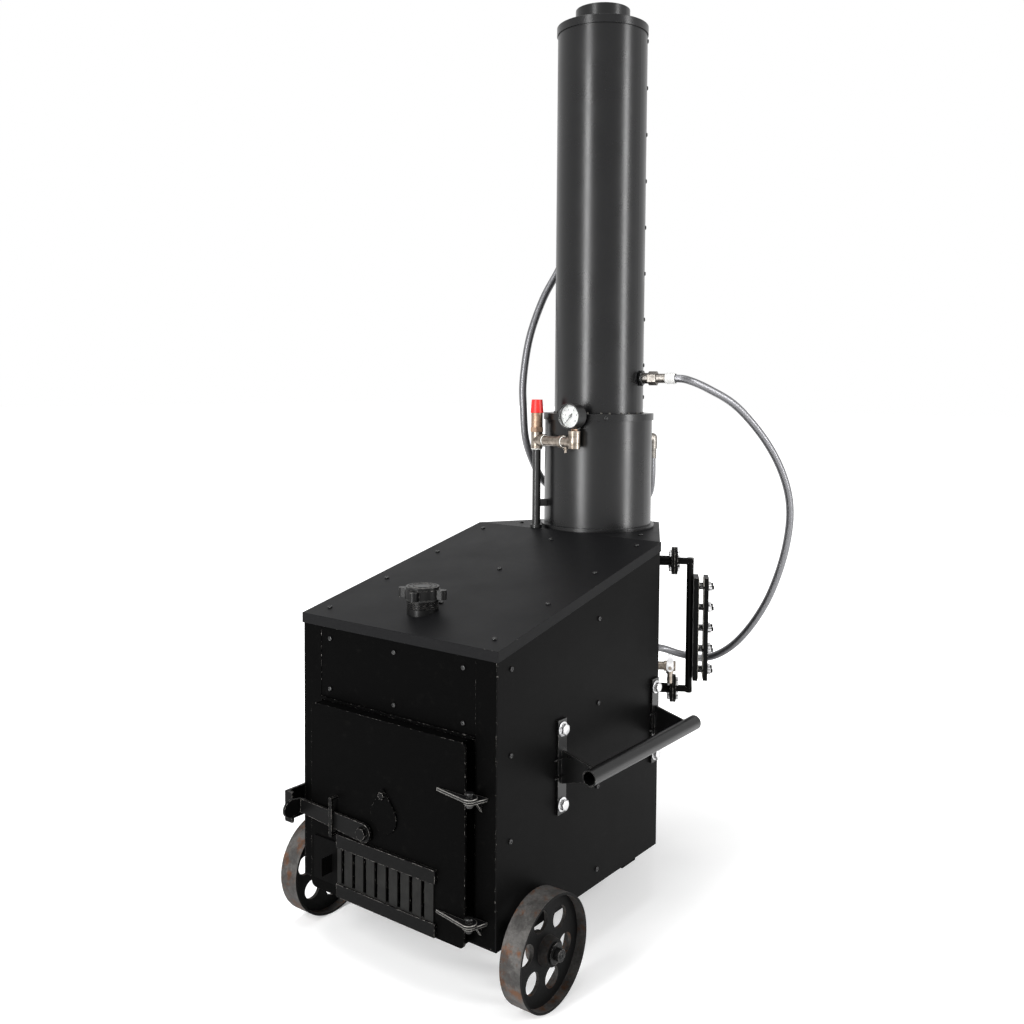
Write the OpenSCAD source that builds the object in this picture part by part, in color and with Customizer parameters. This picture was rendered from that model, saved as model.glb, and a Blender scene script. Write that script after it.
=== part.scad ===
// Wood-fired steam generator: a sheet steel fire cabinet on two wheels, with a
// sloping lid, a fire door with an air damper, a jacketed chimney and its fittings.
// Units are millimetres. +X is the right side seen from the front, +Y the rear, +Z up.
// The modules use the cabinet's own frame: Y 0 is the cabinet's front face and
// Z 0 its underside. placed() moves them so that the origin lies on the ground,
// under the middle of the whole machine.

/* [Cabinet] */
// Width over the two side panels
cabinet_width = 546; // [440:1:700]
// Depth of the side panels
cabinet_depth = 624; // [520:1:760]
// Height of the lid's front edge over the cabinet's underside
cabinet_height = 594; // [540:1:700]
// Rise of the lid from its front edge to its rear edge
lid_rise = 137; // [90:1:200]
// Distance from the side panels' rear edges to the rear panel
rear_reach = 313; // [280:1:380]
// Width of the flat rear panel
rear_panel_width = 188; // [150:1:260]
// Thickness of the casing sheets
sheet = 3; // [2:0.5:4]
// Height of the cabinet's underside over the ground
ground_clearance = 136; // [124:1:180]

/* [Chimney] */
// Radius of the lower jacket
jacket_r = 140; // [125:1:160]
// Height of the lower jacket
jacket_height = 294; // [260:1:340]
// Radius of the upper chimney shell
shell_r = 115; // [100:1:122]
// Height of the upper chimney shell
shell_height = 987; // [760:1:1200]
// Outer radius of the flue pipe
flue_r = 70; // [50:1:76]
// Length of flue pipe standing out of the chimney's cap
flue_stub = 47; // [20:1:90]
// Distance from the rear panel to the chimney's axis
chimney_inset = 163; // [150:1:200]

/* [Fire door] */
// Height of the fire door
door_height = 409; // [360:1:420]
// Width of the fire door
door_width = 435; // [400:1:440]
// Distance from the cabinet's front face to the door's front face
door_stand = 30; // [24:1:40]
// Thickness of the door plate
door_plate = 5; // [3:0.5:8]

/* [Wheels and handles] */
// Radius of the wheels
wheel_r = 115; // [90:1:120]
// Width of a wheel's rim
wheel_width = 50; // [35:1:60]
// Radius of the axle
axle_r = 12.5; // [8:0.5:16]
// Distance of the handle tubes' axes outside the side panels
handle_reach = 87; // [70:1:110]
// Length of a handle tube
handle_length = 455; // [300:1:520]
// Outer radius of a handle tube
handle_r = 17; // [14:0.5:22]

/* [Fittings] */
// Radius of the pressure gauge
gauge_r = 31.5; // [25:0.5:40]
// Outer radius of the header's pipes
pipe_r = 10.65; // [8:0.05:14]
// Outer radius of the hoses
hose_r = 10; // [8:0.5:11]
// Distance between the level gauge's two flanges
level_span = 320; // [280:1:360]

/* [Pieces] */
// Piece to build

/* [Hidden] */
$fn = 32;

// Colours
casing_black = [0.09, 0.09, 0.095];
steel_black = [0.06, 0.06, 0.065];
worn_steel = [0.48, 0.46, 0.44];
bright_steel = [0.72, 0.72, 0.74];
brass = [0.72, 0.58, 0.30];
cap_red = [0.72, 0.10, 0.10];
white = [0.92, 0.92, 0.90];
glass_tint = [0.80, 0.88, 0.90, 0.5];
hose_grey = [0.33, 0.33, 0.34];
rust = [0.42, 0.24, 0.14];

// Gaps and overruns
fit_gap = 0.3;
running_gap = 0.05;
overrun = 1;
clear_gap = 1.5;

// Places worked out from the sizes above
half_width = cabinet_width / 2;
inner_half = half_width - sheet;
rear_y = cabinet_depth + rear_reach;
chimney_y = rear_y - chimney_inset;
plate_z = cabinet_height + lid_rise;
jacket_top = plate_z + jacket_height;
shell_top = jacket_top + sheet + shell_height;
flue_top = shell_top + flue_stub;
chamfer_angle = atan2(rear_reach, half_width - rear_panel_width / 2);
ground_z = -ground_clearance;

// Lid
lid_overhang = 3;
lid_rim_depth = 22;
lid_rim_gap = 0.5;

// Frame behind the door
post_depth = 30;
frame_sheet = 4;
rail = 20;
front_plate_y = 8;
door_low = 1;
door_gap = 1;
door_top = door_low + door_height;
door_half = door_width / 2;
post_gap = 0.5;
post_x = door_half + post_gap;
post_width = inner_half - post_x;
mouth_half = 150;
mouth_low = 150;
mouth_height = 210;
mouth_high = mouth_low + mouth_height;
ash_half = 140;
ash_low = 34;
ash_high = 118;
collar_out = 18;
lip_out = 6;
lip_height = 6;

// Fire chamber inside the cabinet
firebox_half = 200;
firebox_wall = 5;
firebox_margin = 24;
firebox_back = cabinet_depth - firebox_margin;
firebox_top = 400;
grate_z = 130;
grate_thick = 12;
grate_bar = 14;
grate_bars = 13;
ledge = 12;
pan_height = 60;
pan_wall = 2;
pan_margin = 30;
tank_drop = 34;
tank_top = cabinet_height - tank_drop;
tank_front = 40;
tank_wall = 4;
duct_margin = 14;
duct_half = flue_r + duct_margin;
duct_low = 250;
duct_wall = 4;
duct_back = chimney_y + duct_half;
flue_wall = 3;
flue_step = 1;
stub_clear = 4;
pipe_hole_r = flue_r - flue_step + fit_gap;
vessel_height = 532;
vessel_wall = 4;
vessel_margin = 6;
vessel_r_in = flue_r + vessel_margin;
vessel_r_out = shell_r - vessel_margin;

// Chimney shells
shell_wall = 2;
jacket_wall = 3;
jacket_collar = 14;
collar_step = 4;
base_ring = 8;
base_ring_r = jacket_r + base_ring;
base_ring_height = 9;
cap_skirt = 17;
cap_wall = 2.5;
cap_plate = 3;
seam_azimuth = 35;
seam_screws = 8;
seam_low = 42;
seam_next = 125;
seam_high = 29;

// Screws
screw_r = 5;
screw_head = 3;
lid_screw_inset = 40;
mid_screw_shares = [0.237, 0.569, 0.90];
side_screw_y = [42, 358];
side_screw_low = 36;
side_screw_top_shares = [0.912, 0.883];
panel_screw_x = [-190, 0, 187];
panel_screw_inset = 25;
plate_screw_set = 43;
plate_screw_share = 0.2;
screw_top_share = 0.7;
collar_azimuths = [-50, 70, 190];
cap_azimuths = [-100, -10, 80, 170];

// Axle, wheels and legs
axle_y = 103;
axle_z = ground_z + wheel_r;
wheel_gap = 17;
wheel_x = half_width + wheel_gap;
rim_wall = 5;
web_thick = 8;
web_inset = 20;
hub_r = 30;
hub_tip_r = 27;
web_hole_r = 22.5;
web_hole_ring = 67;
web_holes = 6;
web_hole_turn = 17;
washer_thick = 3;
washer_r = 21;
bracket_x = 190;
bracket_thick = 8;
bracket_half = 34;
axle_tail = 14;
leg_x = 95;
leg_set = 121;
leg_y = cabinet_depth + leg_set;
leg_half = 16;
foot_half = 32;
foot_thick = 5;

// Handles
handle_z = 309;
handle_set = 434;
handle_front = cabinet_depth - handle_set;
handle_wall = 3;
strip_width = 30;
strip_height = 200;
strip_thick = 6;
strip_front_inset = 8;
strip_rear_inset = 28;
strip_y = [handle_front + strip_front_inset,
    handle_front + handle_length - strip_rear_inset - strip_width];
gusset_half = 36;
gusset_share = 0.8;
gusset_thick = 6;
bolt_r = 13.2;
bolt_head = 9;
bolt_washer_r = 15.5;
bolt_washer = 2.5;
bolt_inset = 20;

// Door hinges
hinge_out = 12.5;
hinge_front = 1;
hinge_x = door_half + hinge_out;
hinge_y = -door_stand - hinge_front;
hinge_z = [55, 302];
pin_r = 6;
lug_thick = 6;
lug_gap = 0.2;
lug_left_share = 0.8;
lug_base_share = 2.6;
eye_r = 12;
door_eye_r = 16;
lug_reach = 83;
lug_root = 20;
pin_tail = 8;
pin_collar = 4;
pin_collar_r = 9;
gusset_drop = 26;

// Door furniture
corner_r = 12;
flange_back = 2;
slot_count = 8;
slot_width = 9.3;
slot_pitch = 32.6;
slot_first_x = -121;
slot_low = 34;
slot_high = 111;
slider_low = 25.5;
slider_high = 119.5;
slider_left = -205;
slider_right = 140;
slider_thick = 3;
slider_gap = 0.5;
tab_x = -149;
tab_low = 52;
tab_high = 90;
tab_reach = 30;
rail_left = -132;
rail_right = 147;
rail_height = 21;
rail_lip = 7;
rail_lip_thick = 4;
peep_x = 3;
peep_z = 212;
peep_hole_r = 22;
peep_r = 36;
peep_apex_x = 0;
peep_apex_z = 262;
peep_apex_r = 7;
peep_pivot_z = 256;
peep_thick = 4;
small_bolt_r = 4;
small_head_r = 8;
small_head = 5;
baffle_half = 150;
baffle_low = 146;
baffle_high = 378;
baffle_thick = 4;
baffle_stand = 7;
spacer_r = 8;

// Latch
latch_x = -49;
latch_z = 166;
latch_thick = 6;
latch_r = 20;
latch_nose_r = 15;
latch_inset = 35;
latch_length = half_width + latch_x - latch_inset;
latch_rise = 3.5;
latch_gap = 6;
latch_bolt_r = 8;
latch_head_r = 14;
latch_head = 8;
grip_offset = 8;
grip_thick = 6;
grip_reach = 45;
grip_half = 20;
guide_x = -138;
guide_half = 4;
guide_low = 137;
guide_high = 221;
guide_wall = 5;
guide_stand = 20;
catch_low = 137;
catch_high = 205;
catch_root = 30;
catch_front = 52;
catch_lip = 23;

// Filler
filler_x = -11;
filler_y = 100;
filler_r = 33.5;
filler_wall = 5;
filler_stand = 25;
gasket_thick = 3;
gasket_r = 36;
cap_r = 38;
cap_height = 26;
cap_lugs = 4;
lug_tip = 55.5;
lug_half = 9;
cap_lug_height = 20;
cap_turn = 18;
cap_chamfer = 2;

// Header and its fittings
riser_x = -102;
riser_set = 16;
riser_y = cabinet_depth + riser_set;
riser_low = 30;
header_rise = 227;
header_z = plate_z + header_rise;
header_end_x = 37;
header_shift = 34;
header_r = 13;
header_end_y = riser_y - header_shift;
tee_r = 15;
tee_half = 21;
ring_r = 16;
ring_width = 8;
ring_inset = 50;
bleed_r = 3;
bleed_drop = 14;
bleed_inset = 32;
stay_rise = 64;
stay_z = plate_z + stay_rise;
stay_half = 9;
gauge_rise = 66;
gauge_z = header_z + gauge_rise;
gauge_set = 26;
gauge_front = header_end_y - gauge_set;
gauge_stem_share = 0.8;
gauge_depth = 32;
gauge_wall = 2.5;
dial_set = 11;
dial_thick = 1.5;
lens_thick = 2;
needle_thick = 1.2;
needle_set = 7;
needle_length = 22;
needle_tail = 8;
needle_half = 1.2;
needle_hub_r = 3.5;
needle_pin_r = 1.5;
needle_turn = 128;
stem_r = 5.5;
valve_nut_r = 18;
valve_nut = 12;
valve_r = 15;
valve_low = header_z + tee_half;
valve_height = 49;
valve_outlet_r = 9;
valve_azimuth = 127;
valve_outlet = 30;
safety_height = 34;
safety_r_low = 17;
safety_r_top = 14;
safety_stem_r = 4;
safety_stem = 20;

// Level gauge and drain valve, in the chamfer panel's own frame
level_s = 120;
level_drop = 213;
level_low = tank_top - level_drop;
nozzle_r = 12;
nozzle_length = 30;
flange_r = 34;
flange_thick = 7;
flange_bolts = 4;
flange_bolt_ring = 25;
level_stem = 76;
level_pipe_r = 8.5;
level_body_rise = 28;
level_body_drop = 37;
level_body_low = level_low + level_body_rise;
level_body_high = level_low + level_span - level_body_drop;
level_back = level_stem + level_pipe_r + fit_gap;
level_back_thick = 12;
level_mid_thick = 13;
level_cover_thick = 11;
level_half = 29;
level_cover_half = 25;
sight_half = 9;
sight_margin = 22;
sight_share = 1.5;
stud_rows = 5;
stud_x = 18;
stud_r = 5;
stud_nut_r = 8;
stud_nut = 8;
stud_share = 1.6;
stud_inset = 24;
drain_s = 50;
drain_rise = 74;
drain_z = level_low + drain_rise;
drain_nipple_r = 10;
drain_nipple = 14;
drain_body_r = 12.5;
drain_body = 28;
drain_collar_r = 9;
drain_collar = 18;
drain_spout_r = 6;
drain_spout = 42;
drain_stem_r = 4;
drain_stem = 24;
drain_lever_long = 34;
drain_lever_short = 9;
drain_lever_half = 7;
drain_lever_thick = 4;
drain_boss_r = 8;
drain_boss = 18;

// Hose fittings: azimuth about the chimney's axis, height and reach
supply_azimuth = 10;
supply_rise = 94;
supply_z = jacket_top + supply_rise;
nipple_r = 13.5;
nipple_length = 46;
union_r = 18;
union_width = 22;
ferrule_r = 12;
ferrule_length = 24;
sleeve_gap = 1.5;
sleeve_r = 14;
sleeve_length = 25;
return_azimuth = 165;
return_rise = 465;
return_z = jacket_top + return_rise;
return_reach = 150;
jacket_azimuth = 58;
jacket_port_drop = 65;
jacket_port_z = jacket_top - jacket_port_drop;
jacket_reach = 160;
port_drop = 28;
rear_port_x = 40;
rear_port_z = 370;
rear_port_length = 33;

// Routes of the two free hoses, chosen by hand
supply_route = [[182.5, 806.2, 1119], [207, 810.6, 1119], [236, 822, 1115],
    [268, 872, 1093], [312, 944, 1048],
    [361, 1013, 961], [391, 1063, 868], [399, 1095, 773], [382, 1109, 663],
    [347, 1109, 551], [303, 1102, 464], [251, 1092, 395], [194, 1087, 352],
    [142, 1085, 338], [92, 1070, 343], [56, 1040, 358], [41, 1000, 368], [40, 986, 370],
    [40, 970.4, 370]];
return_route = [[-144.9, 812.8, 1461.6], [-144.9, 812.8, 1454],
    [-144.9, 812.4, 1445], [-151, 800, 1408],
    [-172, 760, 1330], [-188, 722, 1225],
    [-194, 703, 1112], [-193, 704, 1032], [-196, 720, 951], [-190, 752, 882],
    [-183, 792, 832], [-160, 845, 798], [-122, 895, 780], [-72, 932, 770],
    [-18, 950, 768], [32, 948, 780], [67, 930, 810], [82.5, 914, 854],
    [84.8, 909.7, 904], [84.8, 909.7, 931.6]];
hose_sides = 8;
hose_steps = 2;

// The origin's place in the cabinet's frame, half way between the foremost and
// rearmost points of the rigid pieces
front_reach = door_stand + latch_gap + latch_thick + grip_reach;
rear_end = rear_y + rear_port_length;
middle_y = (rear_end - front_reach) / 2;

// Shared helpers

module placed() {
    translate([0, -middle_y, ground_clearance])
        children();
}

function lid_z(y) = cabinet_height + y * lid_rise / cabinet_depth;

// A box given by its low and high corners.
module box(low, high) {
    translate(low)
        cube([high.x - low.x, high.y - low.y, high.z - low.z]);
}

// A shape drawn as [Y, Z] and extruded along X, from x_low.
module along_x(x_low, width) {
    translate([x_low, 0, 0])
        rotate([90, 0, 90])
            linear_extrude(height = width)
                children();
}

// A shape drawn as [X, Z] and extruded toward -Y, from y_back.
module along_y(y_back, depth) {
    translate([0, y_back, 0])
        rotate([90, 0, 0])
            linear_extrude(height = depth)
                children();
}

module tube(r_out, r_in, height, sides = 64) {
    difference() {
        cylinder(r = r_out, h = height, $fn = sides);
        translate([0, 0, -overrun])
            cylinder(r = r_in, h = height + 2 * overrun, $fn = sides);
    }
}

// A round bar between two points.
module rod(from, to, r, sides = 20) {
    way = to - from;
    length = norm(way);
    translate(from)
        rotate([0, acos(way.z / length), atan2(way.y, way.x)])
            cylinder(r = r, h = length, $fn = sides);
}

module at_chimney(z = 0) {
    translate([0, chimney_y, z])
        children();
}

// Local +X points out of the right rear panel, local +Y runs along it.
module on_chamfer(s = 0, z = 0) {
    translate([half_width, cabinet_depth, 0])
        rotate([0, 0, 90 - chamfer_angle])
            translate([0, s, z])
                children();
}

module screw_up() {
    cylinder(r1 = screw_r, r2 = screw_r * screw_top_share, h = screw_head, $fn = 10);
}

// Outline of the cabinet's rear half seen from above, inset by a wall.
function rear_outline(inset) =
    let (side = half_width - inset / sin(chamfer_angle),
        corner = rear_panel_width / 2 - inset * (1 - cos(chamfer_angle)) / sin(chamfer_angle))
    [[side, cabinet_depth], [corner, rear_y - inset],
        [-corner, rear_y - inset], [-side, cabinet_depth]];

// Casing and frame

module base_frame() {
    color(steel_black) placed() {
        for (side = [-1, 1]) {
            scale([side, 1, 1]) {
                // front post, an angle section
                along_x(post_x, frame_sheet)
                    polygon([[0, sheet], [post_depth, sheet],
                        [post_depth, lid_z(post_depth) - sheet], [0, lid_z(0) - sheet]]);
                along_x(post_x, post_width)
                    polygon([[0, sheet], [frame_sheet, sheet],
                        [frame_sheet, lid_z(frame_sheet) - sheet], [0, lid_z(0) - sheet]]);
                // bottom and top side rails
                box([inner_half - rail, 0, sheet], [inner_half, cabinet_depth, sheet + rail]);
                along_x(inner_half - rail, rail)
                    polygon([[0, lid_z(0) - sheet - rail],
                        [cabinet_depth, lid_z(cabinet_depth) - sheet - rail],
                        [cabinet_depth, lid_z(cabinet_depth) - sheet],
                        [0, lid_z(0) - sheet]]);
            }
        }
        // front sill and cross rails
        half = post_x + frame_sheet;
        box([-half, 0, sheet], [half, front_plate_y + frame_sheet, sheet + rail]);
        box([-half, frame_sheet, door_top + door_gap],
            [half, frame_sheet + rail, door_top + door_gap + rail]);
        box([-half, frame_sheet, cabinet_height - lid_rim_depth - rail],
            [half, frame_sheet + rail, cabinet_height - lid_rim_depth]);
    }
}

module floor_panel() {
    color(casing_black) placed() {
        linear_extrude(height = sheet)
            polygon(concat([[-inner_half, 0], [inner_half, 0], [inner_half, cabinet_depth]],
                rear_outline(sheet), [[-inner_half, cabinet_depth]]));
    }
}

module front_plate() {
    color(steel_black) placed() {
        low_z = sheet + rail;
        high_z = door_top + door_gap;
        difference() {
            box([-post_x, front_plate_y, low_z], [post_x, front_plate_y + frame_sheet, high_z]);
            box([-mouth_half, front_plate_y - overrun, mouth_low],
                [mouth_half, front_plate_y + frame_sheet + overrun, mouth_high]);
            box([-ash_half, front_plate_y - overrun, ash_low],
                [ash_half, front_plate_y + frame_sheet + overrun, ash_high]);
        }
        // collar that the door's baffle covers
        along_y(front_plate_y + frame_sheet, collar_out + frame_sheet)
            difference() {
                offset(delta = frame_sheet)
                    translate([-mouth_half, mouth_low])
                        square([2 * mouth_half, mouth_high - mouth_low]);
                translate([-mouth_half, mouth_low])
                    square([2 * mouth_half, mouth_high - mouth_low]);
            }
    }
}

module front_upper_panel() {
    color(casing_black) placed() {
        low_z = door_top + door_gap;
        high_z = cabinet_height - lid_rim_depth - door_gap;
        box([-post_x, frame_sheet - sheet, low_z], [post_x, frame_sheet, high_z]);
        box([-post_x, -lip_out, low_z], [post_x, frame_sheet, low_z + sheet]);
        box([-post_x, -lip_out, low_z], [post_x, sheet - lip_out, low_z + lip_height]);
    }
}

module side_panel() {
    along_x(inner_half, sheet)
        polygon([[0, 0], [cabinet_depth, 0], [cabinet_depth, lid_z(cabinet_depth) - sheet],
            [0, lid_z(0) - sheet]]);
}

module left_side_panel() {
    color(casing_black) placed()
        scale([-1, 1, 1])
            side_panel();
}

module right_side_panel() {
    color(casing_black) placed()
        side_panel();
}

module rear_casing() {
    color(casing_black) placed()
        linear_extrude(height = plate_z - sheet)
            polygon(concat(rear_outline(0), [for (i = [3:-1:0]) rear_outline(sheet)[i]]));
}

module lid() {
    color(casing_black) placed() {
        edge = half_width + lid_overhang;
        rim = lid_overhang - lid_rim_gap;
        difference() {
            along_x(-edge, 2 * edge)
                polygon([[-lid_overhang, lid_z(-lid_overhang)],
                    [cabinet_depth, lid_z(cabinet_depth)],
                    [cabinet_depth, lid_z(cabinet_depth) - sheet],
                    [-lid_overhang, lid_z(-lid_overhang) - sheet]]);
            translate([filler_x, filler_y, 0])
                cylinder(r = filler_r + fit_gap, h = plate_z + overrun, $fn = 48);
        }
        for (side = [-1, 1])
            scale([side, 1, 1])
                along_x(edge - rim, rim)
                    polygon([[-lid_overhang, lid_z(-lid_overhang) - sheet / 2],
                        [cabinet_depth, lid_z(cabinet_depth) - sheet / 2],
                        [cabinet_depth, lid_z(cabinet_depth) - lid_rim_depth],
                        [-lid_overhang, lid_z(-lid_overhang) - lid_rim_depth]]);
        along_x(-edge, 2 * edge)
            polygon([[-lid_overhang, lid_z(-lid_overhang) - sheet / 2],
                [rim - lid_overhang, lid_z(rim - lid_overhang) - sheet / 2],
                [rim - lid_overhang, lid_z(rim - lid_overhang) - lid_rim_depth],
                [-lid_overhang, lid_z(-lid_overhang) - lid_rim_depth]]);
    }
}

module rear_top_plate() {
    color(casing_black) placed() {
        difference() {
            translate([0, 0, plate_z - sheet])
                linear_extrude(height = sheet)
                    polygon(rear_outline(0));
            at_chimney(0)
                cylinder(r = pipe_hole_r, h = plate_z + overrun, $fn = 64);
            translate([riser_x, riser_y, 0])
                cylinder(r = pipe_r + fit_gap, h = plate_z + overrun, $fn = 24);
        }
    }
}

module casing_screws() {
    color(bright_steel) placed() {
        // lid screws, in two side rows and one middle row
        for (i = [0:3])
            for (side = [-1, 1])
                lid_screw(side * (half_width - lid_screw_inset),
                    lid_screw_inset + i * (cabinet_depth - 2 * lid_screw_inset) / 3);
        for (share = mid_screw_shares)
            lid_screw(0, share * cabinet_depth);
        // side screws
        for (side = [-1, 1])
            for (column = [0, 1])
                for (i = [0:3])
                    let (y = side_screw_y[column],
                        high = side_screw_top_shares[column] * lid_z(y))
                    translate([side * half_width, y,
                        side_screw_low + i * (high - side_screw_low) / 3])
                        rotate([0, side * 90, 0])
                            screw_up();
        // upper front panel screws
        for (x = panel_screw_x)
            for (z = [door_top + door_gap + panel_screw_inset,
                    cabinet_height - lid_rim_depth - panel_screw_inset])
                translate([x, frame_sheet - sheet, z])
                    rotate([90, 0, 0])
                        screw_up();
        // rear plate screws
        for (side = [-1, 1])
            translate([side * (jacket_r + plate_screw_set),
                cabinet_depth + plate_screw_share * rear_reach, plate_z])
                screw_up();
        // chimney seam screws, jacket collar screw and cap screws
        for (z = concat([seam_low], [for (i = [0:seam_screws - 1])
                seam_next + i * (shell_height - seam_high - seam_next) / (seam_screws - 1)]))
            at_chimney(jacket_top + sheet + z)
                rotate([0, 0, seam_azimuth])
                    translate([shell_r, 0, 0])
                        rotate([0, 90, 0])
                            screw_up();
        for (azimuth = collar_azimuths)
            at_chimney(jacket_top - jacket_collar / 2)
                rotate([0, 0, azimuth])
                    translate([jacket_r + collar_step, 0, 0])
                        rotate([0, 90, 0])
                            screw_up();
        for (azimuth = cap_azimuths)
            at_chimney(shell_top + cap_plate)
                rotate([0, 0, azimuth])
                    translate([(flue_r + shell_r) / 2, 0, 0])
                        screw_up();
    }
}

module lid_screw(x, y) {
    translate([x, y, lid_z(y)])
        rotate([atan2(lid_rise, cabinet_depth), 0, 0])
            screw_up();
}

// Fire chamber

// The fire chamber, with the smoke duct welded to its back.
module firebox() {
    color(rust) placed() {
        smoke_duct();
        difference() {
            box([-firebox_half, front_plate_y + frame_sheet, sheet],
                [firebox_half, firebox_back, firebox_top]);
            box([firebox_wall - firebox_half, front_plate_y, sheet + firebox_wall],
                [firebox_half - firebox_wall, firebox_back - firebox_wall,
                    firebox_top - firebox_wall]);
            box([duct_wall - duct_half, firebox_back - firebox_wall - overrun,
                    duct_low + duct_wall],
                [duct_half - duct_wall, firebox_back + overrun, firebox_top - duct_wall]);
        }
        for (side = [-1, 1])
            scale([side, 1, 1])
                box([firebox_half - firebox_wall - ledge, front_plate_y + frame_sheet,
                        grate_z - firebox_wall],
                    [firebox_half - firebox_wall / 2, firebox_back - firebox_wall / 2, grate_z]);
    }
}

module fire_grate() {
    color(rust) placed() {
        half = firebox_half - firebox_wall - clear_gap;
        front = front_plate_y + frame_sheet + clear_gap;
        back = firebox_back - firebox_wall - clear_gap;
        pitch = (2 * half - grate_bar) / (grate_bars - 1);
        for (i = [0:grate_bars - 1])
            box([i * pitch - half, front, grate_z],
                [i * pitch - half + grate_bar, back, grate_z + grate_thick]);
        for (y = [front, (front + back - grate_bar) / 2, back - grate_bar])
            box([-half, y, grate_z], [half, y + grate_bar, grate_z + grate_thick]);
    }
}

module ash_pan() {
    color(worn_steel) placed() {
        half = ash_half - 2 * pan_wall;
        front = front_plate_y + frame_sheet + clear_gap;
        low = sheet + firebox_wall;
        difference() {
            box([-half, front, low], [half, firebox_back - pan_margin, low + pan_height]);
            box([pan_wall - half, front + pan_wall, low + pan_wall],
                [half - pan_wall, firebox_back - pan_margin - pan_wall,
                    low + pan_height + overrun]);
        }
    }
}

module boiler_tank() {
    color(steel_black) placed()
        difference() {
            box([-firebox_half, tank_front, firebox_top], [firebox_half, firebox_back, tank_top]);
            box([tank_wall - firebox_half, tank_front + tank_wall, firebox_top + tank_wall],
                [firebox_half - tank_wall, firebox_back - tank_wall, tank_top - tank_wall]);
            translate([filler_x, filler_y, firebox_top + tank_wall])
                cylinder(r = filler_r - filler_wall, h = tank_top, $fn = 48);
        }
}

module smoke_duct() {
    difference() {
        box([-duct_half, firebox_back - firebox_wall, duct_low],
            [duct_half, duct_back, firebox_top]);
        box([duct_wall - duct_half, firebox_back - firebox_wall - overrun, duct_low + duct_wall],
            [duct_half - duct_wall, duct_back - duct_wall, firebox_top - duct_wall]);
        at_chimney(duct_low + duct_wall)
            cylinder(r = flue_r - flue_wall, h = firebox_top, $fn = 64);
    }
}

// Chimney

module flue_pipe() {
    color(steel_black) placed() {
        at_chimney(firebox_top)
            tube(flue_r - flue_step, flue_r - flue_wall, flue_top - firebox_top);
        // the wider stub that takes the next length of pipe
        at_chimney(shell_top + cap_plate + stub_clear)
            tube(flue_r, flue_r - flue_wall, flue_stub - cap_plate - stub_clear);
    }
}

module lower_jacket() {
    color(casing_black) placed()
        at_chimney(plate_z) {
            difference() {
                cylinder(r = jacket_r, h = jacket_height, $fn = 72);
                translate([0, 0, -overrun])
                    cylinder(r = jacket_r - jacket_wall, h = jacket_height + 2 * overrun, $fn = 72);
            }
            tube(base_ring_r, jacket_r - jacket_wall, base_ring_height, 72);
            translate([0, 0, jacket_height - jacket_collar])
                tube(jacket_r + collar_step, jacket_r - jacket_wall, jacket_collar + sheet, 72);
            translate([0, 0, jacket_height])
                tube(jacket_r + collar_step, pipe_hole_r, sheet, 72);
        }
}

module chimney_shell() {
    color(casing_black) placed()
        at_chimney(jacket_top + sheet)
            difference() {
                tube(shell_r, shell_r - shell_wall, shell_height - cap_plate);
                rotate([0, 0, supply_azimuth])
                    translate([0, 0, supply_z - jacket_top - sheet])
                        rotate([0, 90, 0])
                            cylinder(r = nipple_r + fit_gap, h = shell_r + overrun, $fn = 24);
                rotate([0, 0, return_azimuth])
                    translate([0, 0, return_z - jacket_top - sheet])
                        rotate([0, 90, 0])
                            cylinder(r = nipple_r + fit_gap, h = shell_r + overrun, $fn = 24);
            }
}

module chimney_cap() {
    color(steel_black) placed()
        at_chimney(shell_top - cap_skirt) {
            tube(shell_r + fit_gap + cap_wall, shell_r + fit_gap, cap_skirt);
            translate([0, 0, cap_skirt - cap_plate])
                tube(shell_r + fit_gap + cap_wall, pipe_hole_r, 2 * cap_plate);
        }
}

module preheater_vessel() {
    color(worn_steel) placed()
        at_chimney(jacket_top + sheet)
            difference() {
                tube(vessel_r_out, vessel_r_in, vessel_height);
                rotate_extrude($fn = 64)
                    translate([vessel_r_in + vessel_wall, vessel_wall])
                        square([vessel_r_out - vessel_r_in - 2 * vessel_wall,
                            vessel_height - 2 * vessel_wall]);
                for (port = [[supply_azimuth, supply_z], [return_azimuth, return_z]])
                    translate([0, 0, port[1] - jacket_top - sheet])
                        rotate([0, 0, port[0]])
                            translate([vessel_r_in + 2 * vessel_wall, 0, 0])
                                rotate([0, 90, 0])
                                    cylinder(r = nipple_r / 2, h = vessel_r_out, $fn = 24);
            }
}

// Filler on the lid

module filler_neck() {
    color(steel_black) placed()
        translate([filler_x, filler_y, tank_top])
            tube(filler_r, filler_r - filler_wall,
                lid_z(filler_y) + filler_stand - running_gap - tank_top, 48);
}

module filler_gasket() {
    color(bright_steel) placed()
        translate([filler_x, filler_y, lid_z(filler_y) + filler_stand])
            tube(gasket_r, filler_r - filler_wall, gasket_thick, 48);
}

module filler_cap() {
    color(steel_black) placed()
        translate([filler_x, filler_y, lid_z(filler_y) + filler_stand + gasket_thick]) {
            linear_extrude(height = cap_lug_height) {
                circle(r = cap_r, $fn = 48);
                for (i = [0:cap_lugs - 1])
                    rotate([0, 0, i * 360 / cap_lugs + cap_turn]) {
                        translate([0, -lug_half])
                            square([lug_tip - lug_half, 2 * lug_half]);
                        translate([lug_tip - lug_half, 0])
                            circle(r = lug_half, $fn = 16);
                    }
            }
            cylinder(r = cap_r - cap_chamfer, h = cap_height, $fn = 48);
        }
}

// Legs, axle and wheels

module rear_legs() {
    color(steel_black) placed()
        for (side = [-1, 1])
            translate([side * leg_x, leg_y, ground_z]) {
                box([-leg_half, -leg_half, 0], [leg_half, leg_half, ground_clearance]);
                box([-foot_half, -foot_half, 0], [foot_half, foot_half, foot_thick]);
            }
}

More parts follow.
